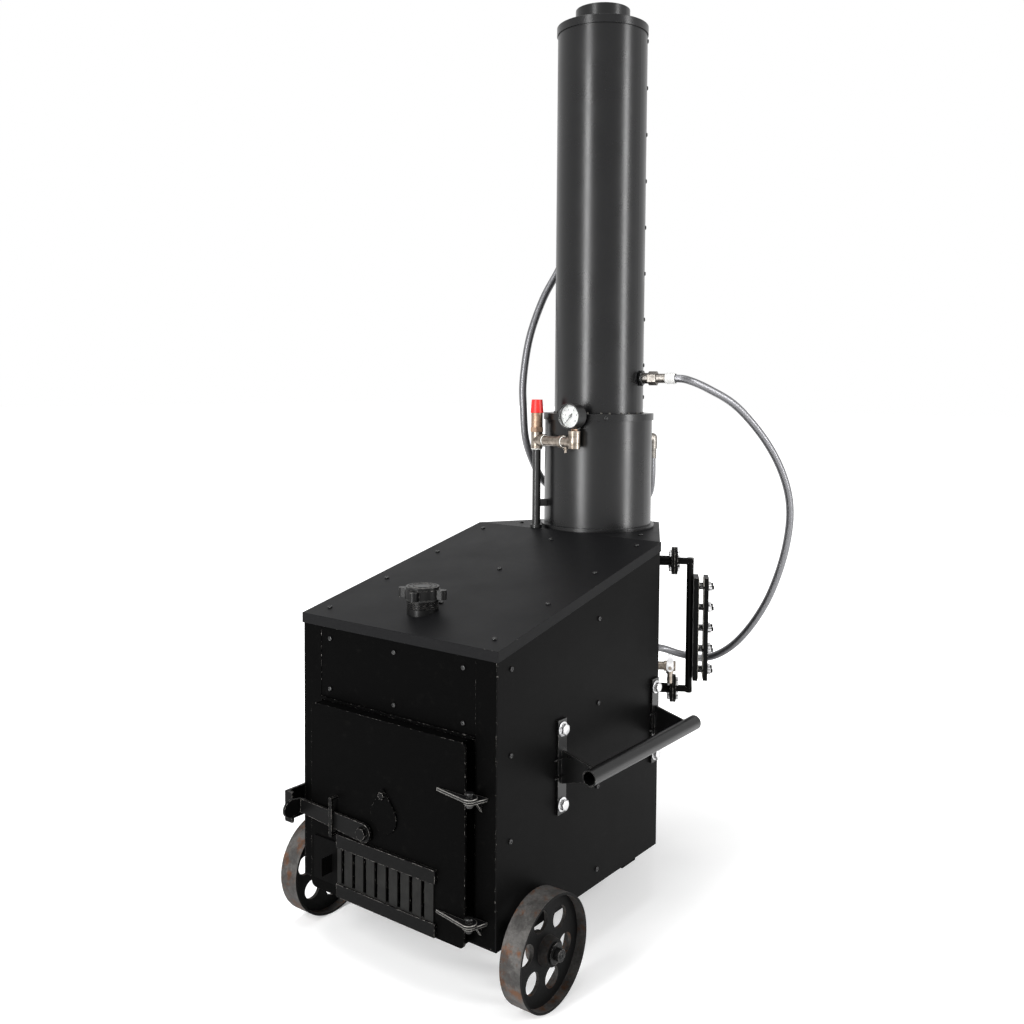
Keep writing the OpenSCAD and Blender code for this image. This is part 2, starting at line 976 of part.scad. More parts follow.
module axle() {
    color(worn_steel) placed() {
        reach = wheel_x + wheel_width + washer_thick + axle_tail;
        translate([-reach, axle_y, axle_z])
            rotate([0, 90, 0])
                cylinder(r = axle_r, h = 2 * reach, $fn = 40);
    }
}

module axle_brackets() {
    color(steel_black) placed()
        for (side = [-1, 1])
            scale([side, 1, 1])
                difference() {
                    along_x(bracket_x, bracket_thick)
                        difference() {
                            hull() {
                                translate([axle_y, axle_z])
                                    circle(r = 2 * axle_r, $fn = 32);
                                translate([axle_y - bracket_half, -sheet])
                                    square([2 * bracket_half, sheet]);
                            }
                            translate([axle_y - bracket_half, 0])
                                square([2 * bracket_half, ground_clearance]);
                        }
                    translate([0, axle_y, axle_z])
                        rotate([0, 90, 0])
                            cylinder(r = axle_r + running_gap, h = half_width, $fn = 40);
                }
}

// Thrust washers on both sides of each wheel.
module axle_washers() {
    color(worn_steel) placed()
        for (side = [-1, 1])
            scale([side, 1, 1])
                translate([0, axle_y, axle_z])
                    for (x = [wheel_x - washer_thick - clear_gap,
                            wheel_x + wheel_width + clear_gap])
                        translate([x, 0, 0])
                            rotate([0, 90, 0])
                                tube(washer_r, axle_r + running_gap, washer_thick, 40);
}

module wheel() {
    translate([wheel_x, axle_y, axle_z])
        rotate([0, 90, 0])
            difference() {
                rotate_extrude($fn = 72)
                    polygon([[axle_r + running_gap, 0], [hub_r, 0],
                        [hub_r, wheel_width - web_inset - web_thick],
                        [wheel_r - rim_wall, wheel_width - web_inset - web_thick],
                        [wheel_r - rim_wall, 0], [wheel_r, 0], [wheel_r, wheel_width],
                        [wheel_r - rim_wall, wheel_width],
                        [wheel_r - rim_wall, wheel_width - web_inset],
                        [hub_r, wheel_width - web_inset], [hub_tip_r, wheel_width],
                        [axle_r + running_gap, wheel_width]]);
                for (i = [0:web_holes - 1])
                    rotate([0, 0, web_hole_turn + i * 360 / web_holes])
                        translate([web_hole_ring, 0, 0])
                            cylinder(r = web_hole_r, h = wheel_width, $fn = 24);
            }
}

module left_wheel() {
    color(steel_black) placed()
        scale([-1, 1, 1])
            wheel();
}

module right_wheel() {
    color(steel_black) placed()
        wheel();
}

// Handles

module handle() {
    x = half_width + handle_reach;
    difference() {
        union() {
            translate([x, handle_front, handle_z])
                rotate([-90, 0, 0])
                    cylinder(r = handle_r, h = handle_length, $fn = 32);
            for (y = strip_y) {
                box([half_width, y, handle_z - strip_height / 2],
                    [half_width + strip_thick, y + strip_width, handle_z + strip_height / 2]);
                translate([0, y + (strip_width + gusset_thick) / 2, 0])
                    rotate([90, 0, 0])
                        linear_extrude(height = gusset_thick)
                            polygon([[half_width + strip_thick / 2, handle_z - gusset_half],
                                [x, handle_z - handle_r * gusset_share],
                                [x, handle_z + handle_r * gusset_share],
                                [half_width + strip_thick / 2, handle_z + gusset_half]]);
            }
        }
        translate([x, handle_front - overrun, handle_z])
            rotate([-90, 0, 0])
                cylinder(r = handle_r - handle_wall, h = handle_length + 2 * overrun, $fn = 32);
    }
}

module left_handle() {
    color(steel_black) placed()
        scale([-1, 1, 1])
            handle();
}

module right_handle() {
    color(steel_black) placed()
        handle();
}

module handle_bolts() {
    color(bright_steel) placed()
        for (side = [-1, 1])
            for (y = strip_y)
                for (end = [-1, 1])
                    translate([side * (half_width + strip_thick), y + strip_width / 2,
                        handle_z + end * (strip_height / 2 - bolt_inset)])
                        rotate([0, side * 90, 0]) {
                            cylinder(r = bolt_washer_r, h = bolt_washer, $fn = 20);
                            cylinder(r = bolt_r, h = bolt_washer + bolt_head, $fn = 6);
                        }
}

// Hinges

module post_lugs() {
    color(steel_black) placed()
        for (z = hinge_z) {
            difference() {
                translate([0, 0, z - lug_thick - lug_gap])
                    linear_extrude(height = lug_thick)
                        hull() {
                            translate([hinge_x, hinge_y])
                                circle(r = eye_r, $fn = 32);
                            translate([hinge_x - eye_r * lug_left_share, -sheet])
                                square([eye_r * lug_base_share, sheet]);
                        }
                translate([hinge_x, hinge_y, 0])
                    cylinder(r = pin_r + running_gap, h = door_top, $fn = 24);
            }
            // gusset below the lug
            along_x(hinge_x, lug_thick)
                polygon([[0, z - lug_gap - lug_thick / 2],
                    [hinge_y + eye_r, z - lug_gap - lug_thick / 2],
                    [hinge_y + eye_r, z - lug_gap - lug_thick],
                    [0, z - lug_thick - gusset_drop]]);
        }
}

module hinge_pins() {
    color(bright_steel) placed()
        for (z = hinge_z)
            translate([hinge_x, hinge_y, z - lug_thick - lug_gap - pin_tail]) {
                cylinder(r = pin_r, h = 2 * lug_thick + 2 * pin_tail, $fn = 24);
                // collar that bears on the post lug from below
                translate([0, 0, pin_tail - pin_collar])
                    cylinder(r = pin_collar_r, h = pin_collar, $fn = 24);
            }
}

module door_lugs() {
    color(steel_black) placed()
        for (z = hinge_z)
            difference() {
                translate([0, 0, z])
                    linear_extrude(height = lug_thick)
                        hull() {
                            translate([hinge_x, hinge_y])
                                circle(r = door_eye_r, $fn = 32);
                            translate([hinge_x - lug_reach, -door_stand - sheet])
                                square([lug_root, sheet]);
                            translate([door_half - lug_root, -door_stand - sheet])
                                square([lug_root, sheet]);
                        }
                translate([hinge_x, hinge_y, 0])
                    cylinder(r = pin_r + running_gap, h = door_top, $fn = 24);
                // the lug ends at the door's front face
                box([0, -door_stand, 0], [door_half, 0, door_top]);
            }
}

// Fire door

module fire_door() {
    color(steel_black) placed() {
        low = door_low;
        high = door_low + door_height;
        along_y(door_plate - door_stand, door_plate)
            difference() {
                hull()
                    for (x = [corner_r - door_half, door_half - corner_r])
                        for (z = [low + corner_r, high - corner_r])
                            translate([x, z])
                                circle(r = corner_r, $fn = 32);
                for (i = [0:slot_count - 1])
                    translate([slot_first_x + i * slot_pitch, slot_low])
                        square([slot_width, slot_high - slot_low]);
                translate([peep_x, peep_z])
                    circle(r = peep_hole_r, $fn = 32);
            }
        // flanges that reach back to the frame, none on the hinge side
        box([corner_r - door_half, door_plate / 2 - door_stand, high - door_plate],
            [door_half - corner_r, -flange_back, high]);
        box([-door_half, door_plate / 2 - door_stand, low + corner_r],
            [door_plate - door_half, -flange_back, high - corner_r]);
        box([corner_r - door_half, door_plate / 2 - door_stand, low],
            [door_half - corner_r, -flange_back, low + door_plate]);
    }
}

module door_baffle() {
    color(rust) placed() {
        front = door_plate - door_stand + baffle_stand;
        difference() {
            box([-baffle_half, front, baffle_low], [baffle_half, front + baffle_thick, baffle_high]);
            translate([peep_x, front - overrun, peep_z])
                rotate([-90, 0, 0])
                    cylinder(r = peep_hole_r, h = baffle_thick + 2 * overrun, $fn = 32);
        }
        for (x = [-1, 1])
            for (z = [baffle_low + pan_margin, baffle_high - pan_margin])
                translate([x * (baffle_half - pan_margin), front + baffle_thick / 2, z])
                    rotate([90, 0, 0])
                        cylinder(r = spacer_r, h = baffle_stand + baffle_thick / 2, $fn = 20);
    }
}

// Rails that hold the damper, and the strap that guides the latch lever.
module door_rails() {
    color(steel_black) placed() {
        lip_back = slider_gap + slider_thick + slider_gap;
        along_x(rail_left, rail_right - rail_left)
            polygon([[-door_stand, slider_high + slider_gap],
                [-door_stand, slider_high + rail_height],
                [-door_stand - lip_back - rail_lip_thick, slider_high + rail_height],
                [-door_stand - lip_back - rail_lip_thick, slider_high - rail_lip],
                [-door_stand - lip_back, slider_high - rail_lip],
                [-door_stand - lip_back, slider_high + slider_gap]]);
        along_x(rail_left, rail_right - rail_left)
            polygon([[-door_stand, slider_low - slider_gap],
                [-door_stand, slider_low - rail_height],
                [-door_stand - lip_back - rail_lip_thick, slider_low - rail_height],
                [-door_stand - lip_back - rail_lip_thick, slider_low + rail_lip],
                [-door_stand - lip_back, slider_low + rail_lip],
                [-door_stand - lip_back, slider_low - slider_gap]]);
        along_x(guide_x - guide_half, 2 * guide_half)
            polygon([[-door_stand, guide_low], [-door_stand, guide_low + guide_wall],
                [guide_wall - door_stand - guide_stand, guide_low + guide_wall],
                [guide_wall - door_stand - guide_stand, guide_high - guide_wall],
                [-door_stand, guide_high - guide_wall], [-door_stand, guide_high],
                [-door_stand - guide_stand, guide_high],
                [-door_stand - guide_stand, guide_low]]);
    }
}

// Pivot bolts of the latch lever and the peephole cover.
module door_bolts() {
    color(bright_steel) placed() {
        translate([latch_x, -door_stand, latch_z])
            rotate([90, 0, 0]) {
                cylinder(r = latch_head_r, h = latch_gap - fit_gap, $fn = 24);
                cylinder(r = latch_bolt_r, h = latch_gap + latch_thick + latch_head, $fn = 24);
                translate([0, 0, latch_gap + latch_thick + fit_gap])
                    cylinder(r = latch_head_r, h = latch_head, $fn = 6);
            }
        translate([peep_apex_x, -door_stand, peep_pivot_z])
            rotate([90, 0, 0]) {
                cylinder(r = small_bolt_r, h = peep_thick + small_head, $fn = 16);
                translate([0, 0, peep_thick + 2 * fit_gap])
                    cylinder(r = small_head_r, h = small_head, $fn = 6);
            }
    }
}

module latch_lever() {
    color(steel_black) placed() {
        back = -door_stand - latch_gap;
        translate([latch_x, back, latch_z])
            rotate([0, latch_rise, 0]) {
                rotate([90, 0, 0])
                    linear_extrude(height = latch_thick)
                        difference() {
                            hull() {
                                circle(r = latch_r, $fn = 32);
                                translate([-latch_length, 0])
                                    circle(r = latch_nose_r, $fn = 32);
                            }
                            circle(r = latch_bolt_r + running_gap, $fn = 24);
                        }
                // grip bent forward at the lever's end
                translate([-grip_offset - latch_length, 0, 0])
                    rotate([90, 0, 90])
                        linear_extrude(height = grip_thick)
                            hull() {
                                translate([-latch_thick - overrun, -latch_nose_r])
                                    square([overrun + latch_thick / 2, 2 * latch_nose_r]);
                                translate([grip_half - latch_thick - grip_reach, 0])
                                    circle(r = grip_half, $fn = 32);
                            }
            }
    }
}

module latch_catch() {
    color(steel_black) placed() {
        x = -half_width - strip_thick;
        box([x, -catch_front, catch_low], [-half_width, catch_root, catch_high]);
        box([x, -catch_front, catch_low],
            [x + catch_lip, strip_thick - catch_front, catch_high]);
    }
}

module peephole_cover() {
    color(steel_black) placed()
        along_y(-door_stand - fit_gap, peep_thick)
            difference() {
                hull() {
                    translate([peep_x, peep_z])
                        circle(r = peep_r, $fn = 40);
                    translate([peep_apex_x, peep_apex_z])
                        circle(r = peep_apex_r, $fn = 24);
                }
                translate([peep_apex_x, peep_pivot_z])
                    circle(r = small_bolt_r + running_gap, $fn = 16);
            }
}

module damper_slider() {
    color(steel_black) placed() {
        along_y(-door_stand - slider_gap, slider_thick)
            difference() {
                translate([slider_left, slider_low])
                    square([slider_right - slider_left, slider_high - slider_low]);
                for (i = [0:slot_count - 1])
                    translate([slot_first_x + i * slot_pitch, slot_low])
                        square([slot_width, slot_high - slot_low]);
            }
        box([tab_x - slider_thick, -door_stand - slider_gap - slider_thick - tab_reach, tab_low],
            [tab_x, -door_stand - slider_gap - slider_thick / 2, tab_high]);
    }
}

// Header, pressure gauge and safety valve

header_way = [header_end_x - riser_x, header_end_y - riser_y];
header_length = norm(header_way);
header_turn = atan2(header_way.y, header_way.x);

module at_header() {
    translate([riser_x, riser_y, header_z])
        rotate([0, 0, header_turn])
            children();
}

module riser_pipe() {
    color(steel_black) placed() {
        translate([riser_x, riser_y, plate_z - riser_low])
            cylinder(r = pipe_r, h = header_z + tee_half - plate_z + riser_low, $fn = 24);
        translate([riser_x, riser_y, plate_z])
            cylinder(r = tee_r, h = ring_width, $fn = 24);
        at_header() {
            translate([0, 0, -tee_half])
                cylinder(r = tee_r, h = 2 * tee_half, $fn = 24);
            rotate([0, 90, 0])
                cylinder(r = tee_r, h = tee_half, $fn = 24);
            rotate([0, 90, 0])
                cylinder(r = header_r, h = header_length, $fn = 24);
            translate([header_length, 0, 0]) {
                translate([0, 0, -tee_r])
                    cylinder(r = tee_r, h = tee_half + tee_r, $fn = 24);
                rotate([0, -90, 0])
                    cylinder(r = tee_r, h = tee_half, $fn = 24);
            }
        }
        // stay between the riser and the jacket
        difference() {
            translate([riser_x, riser_y, stay_z])
                rotate([0, 0, atan2(chimney_y - riser_y, -riser_x)])
                    box([0, -stay_half / 2, -stay_half],
                        [norm([chimney_y - riser_y, riser_x]), stay_half / 2, stay_half]);
            at_chimney(stay_z - 2 * stay_half)
                cylinder(r = jacket_r + running_gap, h = 4 * stay_half, $fn = 72);
        }
    }
}

module header_fittings() {
    color(bright_steel) placed()
        at_header() {
            for (x = [tee_half, header_length - ring_inset])
                translate([x, 0, 0])
                    rotate([0, 90, 0])
                        tube(ring_r, header_r + running_gap, ring_width, 24);
            translate([header_length, 0, tee_half])
                tube(tee_r, stem_r + running_gap, ring_width, 24);
            translate([header_length - bleed_inset, 0, -header_r - bleed_drop]) {
                cylinder(r = bleed_r, h = bleed_drop, $fn = 16);
                translate([0, 0, bleed_drop / 2])
                    cylinder(r = 2 * bleed_r, h = bleed_r, $fn = 6);
            }
        }
}

module at_gauge() {
    translate([header_end_x, gauge_front, gauge_z])
        rotate([-90, 0, 0])
            children();
}

module gauge_case() {
    color(bright_steel) placed() {
        difference() {
            union() {
                at_gauge()
                    cylinder(r = gauge_r, h = gauge_depth, $fn = 48);
                translate([header_end_x, header_end_y, header_z + tee_half])
                    cylinder(r = stem_r,
                        h = gauge_z - header_z - tee_half - gauge_r * gauge_stem_share, $fn = 20);
            }
            at_gauge()
                translate([0, 0, -overrun])
                    cylinder(r = gauge_r - gauge_wall, h = dial_set + dial_thick + overrun,
                        $fn = 48);
        }
    }
}

module gauge_dial() {
    color(white) placed()
        at_gauge() {
            translate([0, 0, dial_set])
                cylinder(r = gauge_r - gauge_wall - fit_gap, h = dial_thick, $fn = 48);
            translate([0, 0, needle_set - needle_thick])
                cylinder(r = needle_pin_r, h = dial_set - needle_set + needle_thick, $fn = 16);
        }
}

module gauge_needle() {
    color(steel_black) placed()
        at_gauge()
            translate([0, 0, needle_set])
                rotate([0, 0, needle_turn])
                    difference() {
                        linear_extrude(height = needle_thick)
                            union() {
                                circle(r = needle_hub_r, $fn = 20);
                                polygon([[-needle_tail, -needle_half], [needle_length, 0],
                                    [-needle_tail, needle_half]]);
                            }
                        translate([0, 0, -overrun])
                            cylinder(r = needle_pin_r + running_gap,
                                h = needle_thick + 2 * overrun, $fn = 16);
                    }
}

module gauge_lens() {
    color(glass_tint) placed()
        at_gauge()
            translate([0, 0, running_gap])
                cylinder(r = gauge_r - gauge_wall - fit_gap, h = lens_thick, $fn = 48);
}

module safety_valve_body() {
    color(brass) placed()
        translate([riser_x, riser_y, valve_low]) {
            cylinder(r = valve_nut_r, h = valve_nut, $fn = 6);
            cylinder(r = valve_r, h = valve_height, $fn = 28);
            cylinder(r = safety_stem_r, h = valve_height + safety_stem, $fn = 20);
            translate([0, 0, valve_nut + valve_r])
                rotate([0, 90, valve_azimuth])
                    cylinder(r = valve_outlet_r, h = valve_outlet, $fn = 24);
        }
}

module safety_cap() {
    color(cap_red) placed()
        translate([riser_x, riser_y, valve_low + valve_height + fit_gap])
            difference() {
                cylinder(r1 = safety_r_low, r2 = safety_r_top, h = safety_height, $fn = 32);
                translate([0, 0, -overrun])
                    cylinder(r = safety_stem_r + running_gap, h = safety_stem + 2 * overrun,
                        $fn = 20);
            }
}

// Level gauge

module level_gauge_pipes() {
    color(steel_black) placed() {
        on_chamfer(level_s)
            for (z = [level_low, level_low + level_span])
                translate([0, 0, z])
                    rotate([0, 90, 0]) {
                        cylinder(r = nozzle_r, h = nozzle_length, $fn = 28);
                        for (step = [0, 1])
                            translate([0, 0, nozzle_length + step * (flange_thick + 2 * fit_gap)])
                                cylinder(r = flange_r, h = flange_thick, $fn = 40);
                        for (i = [0:flange_bolts - 1])
                            rotate([0, 0, 45 + i * 360 / flange_bolts])
                                translate([flange_bolt_ring, 0, nozzle_length - flange_thick])
                                    cylinder(r = stud_r, h = 4 * flange_thick, $fn = 6);
                        cylinder(r = level_pipe_r, h = level_stem + level_pipe_r, $fn = 24);
                    }
        // upright between the two branches
        on_chamfer(level_s)
            translate([level_stem, 0, level_low - level_pipe_r])
                cylinder(r = level_pipe_r, h = level_span + 2 * level_pipe_r, $fn = 24);
    }
}

module level_gauge_frame() {
    color(steel_black) placed()
        on_chamfer(level_s)
            box([level_back, -level_half, level_body_low],
                [level_back + level_back_thick, level_half, level_body_high]);
}

module level_glass() {
    color(glass_tint) placed()
        on_chamfer(level_s)
            box([level_back + level_back_thick, -sight_half - sheet, level_body_low + sight_margin],
                [level_back + level_back_thick + level_mid_thick, sight_half + sheet,
                    level_body_high - sight_margin]);
}

module level_gauge_cover() {
    color(steel_black) placed()
        on_chamfer(level_s) {
            front = level_back + level_back_thick + level_mid_thick;
            difference() {
                box([front, -level_cover_half, level_body_low],
                    [front + level_cover_thick, level_cover_half, level_body_high]);
                box([front - overrun, -sight_half, level_body_low + sight_share * sight_margin],
                    [front + level_cover_thick + overrun, sight_half,
                        level_body_high - sight_share * sight_margin]);
            }
            for (row = [0:stud_rows - 1])
                for (side = [-1, 1])
                    translate([level_back + level_back_thick, side * stud_x,
                        level_body_low + stud_inset + row
                            * (level_body_high - level_body_low - 2 * stud_inset) / (stud_rows - 1)])
                        rotate([0, 90, 0]) {
                            cylinder(r = stud_r, h = level_mid_thick + level_cover_thick
                                + stud_nut * stud_share, $fn = 14);
                            translate([0, 0, level_mid_thick + level_cover_thick])
                                cylinder(r = stud_nut_r, h = stud_nut, $fn = 6);
                        }
        }
}

// The valve's body, its boss and stem toward the front, and its spout.
module drain_valve_body() {
    color(brass) placed()
        on_chamfer(drain_s, drain_z) {
            rotate([0, 90, 0]) {
                cylinder(r = drain_nipple_r, h = drain_nipple + drain_body / 2, $fn = 24);
                translate([0, 0, drain_nipple])
                    cylinder(r = drain_body_r, h = drain_body, $fn = 28);
            }
            translate([drain_nipple + drain_body / 2, 0, 0]) {
                rotate([90, 0, 0]) {
                    cylinder(r = drain_boss_r, h = drain_boss, $fn = 20);
                    cylinder(r = drain_stem_r, h = drain_stem, $fn = 20);
                }
                translate([0, 0, -drain_collar])
                    cylinder(r = drain_collar_r, h = drain_collar, $fn = 24);
                translate([0, 0, -drain_spout])
                    cylinder(r = drain_spout_r, h = drain_spout, $fn = 24);
            }
        }
}

module drain_lever() {
    color(bright_steel) placed()
        on_chamfer(drain_s, drain_z)
            translate([drain_nipple + drain_body / 2, -drain_boss - fit_gap, 0])
                rotate([90, 0, 0])
                    linear_extrude(height = drain_lever_thick)
                        difference() {
                            hull() {
                                translate([0, drain_lever_long - drain_lever_half])
                                    circle(r = drain_lever_half, $fn = 24);
                                circle(r = drain_lever_short, $fn = 24);
                            }
                            circle(r = drain_stem_r + running_gap, $fn = 20);
                        }
}

// Hoses and their fittings

// Local +X points out of the chimney at an azimuth.
module out_of_chimney(azimuth, z) {
    at_chimney(z)
        rotate([0, 0, azimuth])
            children();
}

module hose_fittings() {
    color(bright_steel) placed() {
        // supply union on the chimney's right
        out_of_chimney(supply_azimuth, supply_z)
            rotate([0, 90, 0]) {
                translate([0, 0, vessel_r_out])
                    cylinder(r = nipple_r, h = shell_r + nipple_length - vessel_r_out, $fn = 24);
                translate([0, 0, shell_r + nipple_length - union_width])
                    cylinder(r = union_r, h = union_width, $fn = 6);
                translate([0, 0, shell_r + nipple_length - union_width])
                    cylinder(r = ferrule_r, h = union_width + ferrule_length, $fn = 24);
            }
        // return elbow on the chimney's rear left
        out_of_chimney(return_azimuth, return_z)
            drop_elbow(vessel_r_out, return_reach);
        // return elbow on the lower jacket
        out_of_chimney(jacket_azimuth, jacket_port_z)
            drop_elbow(jacket_r, jacket_reach);
        // port on the rear panel
        translate([rear_port_x, rear_y, rear_port_z])
            rotate([-90, 0, 0]) {
                cylinder(r = nipple_r, h = rear_port_length, $fn = 24);
                cylinder(r = union_r, h = rear_port_length / 2, $fn = 6);
            }
    }
}

// White sleeve on the supply hose's first stretch.
module hose_sleeve() {
    color(white) placed()
        out_of_chimney(supply_azimuth, supply_z)
            translate([shell_r + nipple_length + ferrule_length, 0, 0])
                rotate([0, 90, 0])
                    tube(sleeve_r, hose_r + sleeve_gap, sleeve_length, 28);
}

// A pipe that goes out to a reach and then turns down.
module drop_elbow(start, reach) {
    rotate([0, 90, 0])
        translate([0, 0, start])
            cylinder(r = nipple_r, h = reach - start, $fn = 24);
    translate([reach, 0, 0])
        sphere(r = nipple_r, $fn = 24);
    translate([reach, 0, -port_drop])
        cylinder(r = nipple_r, h = port_drop, $fn = 24);
}

// Catmull-Rom points through a route.
function route_point(route, i) = route[max(0, min(len(route) - 1, i))];
function between(a, b, c, d, t) =
    0.5 * (2 * b + t * (c - a) + t * t * (2 * a - 5 * b + 4 * c - d)
        + t * t * t * (3 * b - a - 3 * c + d));
function smooth(route) = concat(
    [for (i = [0:len(route) - 2]) for (k = [0:hose_steps - 1])
        between(route_point(route, i - 1), route_point(route, i),
            route_point(route, i + 1), route_point(route, i + 2), k / hose_steps)],
    [route[len(route) - 1]]);
function unit(v) = v / norm(v);
function tangent(path, i) = unit(route_point(path, i + 1) - route_point(path, i - 1));
function square_to(v, t) = unit(v - (v * t) * t);
// A normal for every ring, each carried over from the one before it.
function normals(path) =
    [for (i = 0, n = square_to([1, 0.2, 0.1], tangent(path, 0)); i < len(path);
        i = i + 1, n = square_to(n, tangent(path, min(i, len(path) - 1)))) n];

module hose(route) {
    path = smooth(route);
    side = normals(path);
    count = len(path);
    points = [for (i = [0:count - 1])
        let (t = tangent(path, i), n = side[i], b = cross(t, n))
        for (k = [0:hose_sides - 1])
            path[i] + hose_r * (cos(k * 360 / hose_sides) * n + sin(k * 360 / hose_sides) * b)];
    walls = [for (i = [0:count - 2]) for (k = [0:hose_sides - 1])
        let (next = (k + 1) % hose_sides, a = i * hose_sides)
        each [[a + k, a + hose_sides + k, a + hose_sides + next],
            [a + k, a + hose_sides + next, a + next]]];
    first = [for (k = [0:hose_sides - 1]) k];
    last = [for (k = [hose_sides - 1:-1:0]) (count - 1) * hose_sides + k];
    polyhedron(points = points, faces = concat(walls, [first, last]), convexity = 10);
}

module supply_hose() {
    color(hose_grey) placed()
        hose(supply_route);
}

module return_hose() {
    color(hose_grey) placed()
        hose(return_route);
}

base_frame();
floor_panel();
front_plate();
front_upper_panel();
left_side_panel();
right_side_panel();
rear_casing();
lid();
rear_top_plate();
casing_screws();
firebox();
fire_grate();
ash_pan();
boiler_tank();
flue_pipe();
lower_jacket();
chimney_shell();
chimney_cap();
preheater_vessel();
filler_neck();
filler_gasket();
filler_cap();
rear_legs();
axle();
axle_brackets();
axle_washers();
left_wheel();
right_wheel();
left_handle();
right_handle();
handle_bolts();
post_lugs();
hinge_pins();
latch_catch();
fire_door();
door_baffle();
door_lugs();
door_rails();
door_bolts();
latch_lever();
peephole_cover();
damper_slider();
riser_pipe();
header_fittings();
gauge_case();
gauge_dial();
gauge_needle();
gauge_lens();
safety_valve_body();
safety_cap();
level_gauge_pipes();
level_gauge_frame();
level_gauge_cover();
level_glass();
drain_valve_body();
drain_lever();
hose_fittings();
hose_sleeve();
supply_hose();
return_hose();
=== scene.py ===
# %% [markdown]
# # Wood-fired steam generator
#
# The real machine is a black steel stove on two cast iron wheels. It has a water tank
# inside, a double chimney, a level gauge and two hoses. Its CAD model is already
# packed as a frame of named nodes, one for each piece, and this lesson dresses it.
# It could be modelled again in Blender from nothing, but then two models would have to
# agree. So the CAD meshes stay as they are and only get a finish, and the script adds
# what is too fine for CAD: screw heads, weld beads, threads, dial marks and braid.

# %% Imports and the frame
import math
import random

import bmesh
import bpy
import numpy as np
from mathutils import Matrix, Vector


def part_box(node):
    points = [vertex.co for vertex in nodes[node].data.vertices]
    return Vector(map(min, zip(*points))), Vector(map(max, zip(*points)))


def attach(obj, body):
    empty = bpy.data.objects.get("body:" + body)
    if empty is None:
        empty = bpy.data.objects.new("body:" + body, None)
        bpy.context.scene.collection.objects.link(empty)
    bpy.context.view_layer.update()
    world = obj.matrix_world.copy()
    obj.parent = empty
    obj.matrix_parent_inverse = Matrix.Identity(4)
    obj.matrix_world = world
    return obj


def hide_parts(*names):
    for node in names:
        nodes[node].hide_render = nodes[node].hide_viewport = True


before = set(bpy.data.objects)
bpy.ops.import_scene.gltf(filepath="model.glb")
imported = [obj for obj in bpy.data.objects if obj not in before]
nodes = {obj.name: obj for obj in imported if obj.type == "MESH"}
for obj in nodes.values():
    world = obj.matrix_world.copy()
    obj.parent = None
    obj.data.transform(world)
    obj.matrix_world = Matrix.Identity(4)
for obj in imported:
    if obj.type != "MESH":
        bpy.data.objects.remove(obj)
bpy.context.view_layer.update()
MM = 0.001

# %% [markdown]
# ## Places taken from the frame
#
# A maker measures a stove from its front face and its underside. Here every place is
# written the same way, in millimetres, and one function turns it into Blender's metres.
# Typing metres in the world's frame would work too, but no drawing reads like that.

# %% A point in the cabinet's own frame
panel_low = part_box("right_side_panel")[0]
FRONT_Y = panel_low[1]
UNDER_Z = panel_low[2]


def at(x, y, z):
    """A point in millimetres in the cabinet's frame, as a scene point in metres."""
    return Vector((x * MM, FRONT_Y + y * MM, UNDER_Z + z * MM))


print("cabinet front at", round(FRONT_Y, 4), "and underside at", round(UNDER_Z, 4))

# %% The chimney's middle and radius
jacket_low, jacket_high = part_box("lower_jacket")
CHIMNEY_Y = (jacket_low[1] + jacket_high[1]) / 2
JACKET_R = (jacket_high[0] - jacket_low[0]) / 2
shell_low, shell_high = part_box("chimney_shell")
SHELL_R = (shell_high[0] - shell_low[0]) / 2
print("chimney middle at y", round(CHIMNEY_Y, 4), "shell radius", round(SHELL_R, 4))

# %% [markdown]
# ## Camera
#
# The picture was taken from the machine's front right corner, a little above its lid.
# A camera could be placed by eye, but its lens and its place trade off, and edges that
# should meet don't. These values were solved from the cabinet's parallel edges, so the
# render and the picture can be laid over each other.

# %% Camera values
CAMERA_AT = (1507.7, -1589.1, 1111.4)
CAMERA_YAW = 37.174
CAMERA_PITCH = 2.868
CAMERA_ROLL = 0.418
FOCAL_PX = 1064.3
PRINCIPAL_Y_PX = 433.6
PICTURE_PX = 1024
SENSOR_MM = 36
NEAREST = 0.05

# %% Camera


def make_camera():
    """Builds the camera from its heading, its pitch, its roll and its lens."""
    yaw, pitch, roll = (math.radians(a) for a in (CAMERA_YAW, CAMERA_PITCH, CAMERA_ROLL))
    ahead = Vector((-math.sin(yaw) * math.cos(pitch), math.cos(yaw) * math.cos(pitch),
                    -math.sin(pitch)))
    level = Vector((math.cos(yaw), math.sin(yaw), 0))
    upright = level.cross(ahead)
    right = level * math.cos(roll) + upright * math.sin(roll)
    up = upright * math.cos(roll) - level * math.sin(roll)
    data = bpy.data.cameras.new("photo_camera")
    data.sensor_width = SENSOR_MM
    data.lens = SENSOR_MM * FOCAL_PX / PICTURE_PX
    data.shift_y = (PRINCIPAL_Y_PX - PICTURE_PX / 2) / PICTURE_PX
    data.clip_start = NEAREST
    camera = bpy.data.objects.new("photo_camera", data)
    turn = Matrix((right, up, -ahead)).transposed().to_4x4()
    camera.matrix_world = Matrix.Translation(at(*CAMERA_AT)) @ turn
    bpy.context.scene.collection.objects.link(camera)
    bpy.context.scene.camera = camera
    print("lens:", round(data.lens, 2), "mm")


make_camera()
bpy.context.scene.view_settings.view_transform = "Standard"

# %% [markdown]
# ## Nodes from code
#
# A finish in Blender is a tree of shader nodes. It can be drawn by hand in the editor,
# but a script gives the same tree each time. One small function is enough: it adds any
# kind of node, sets its properties, and sets or links its sockets by their names.

# %% Colours
GREY_STEPS = 255


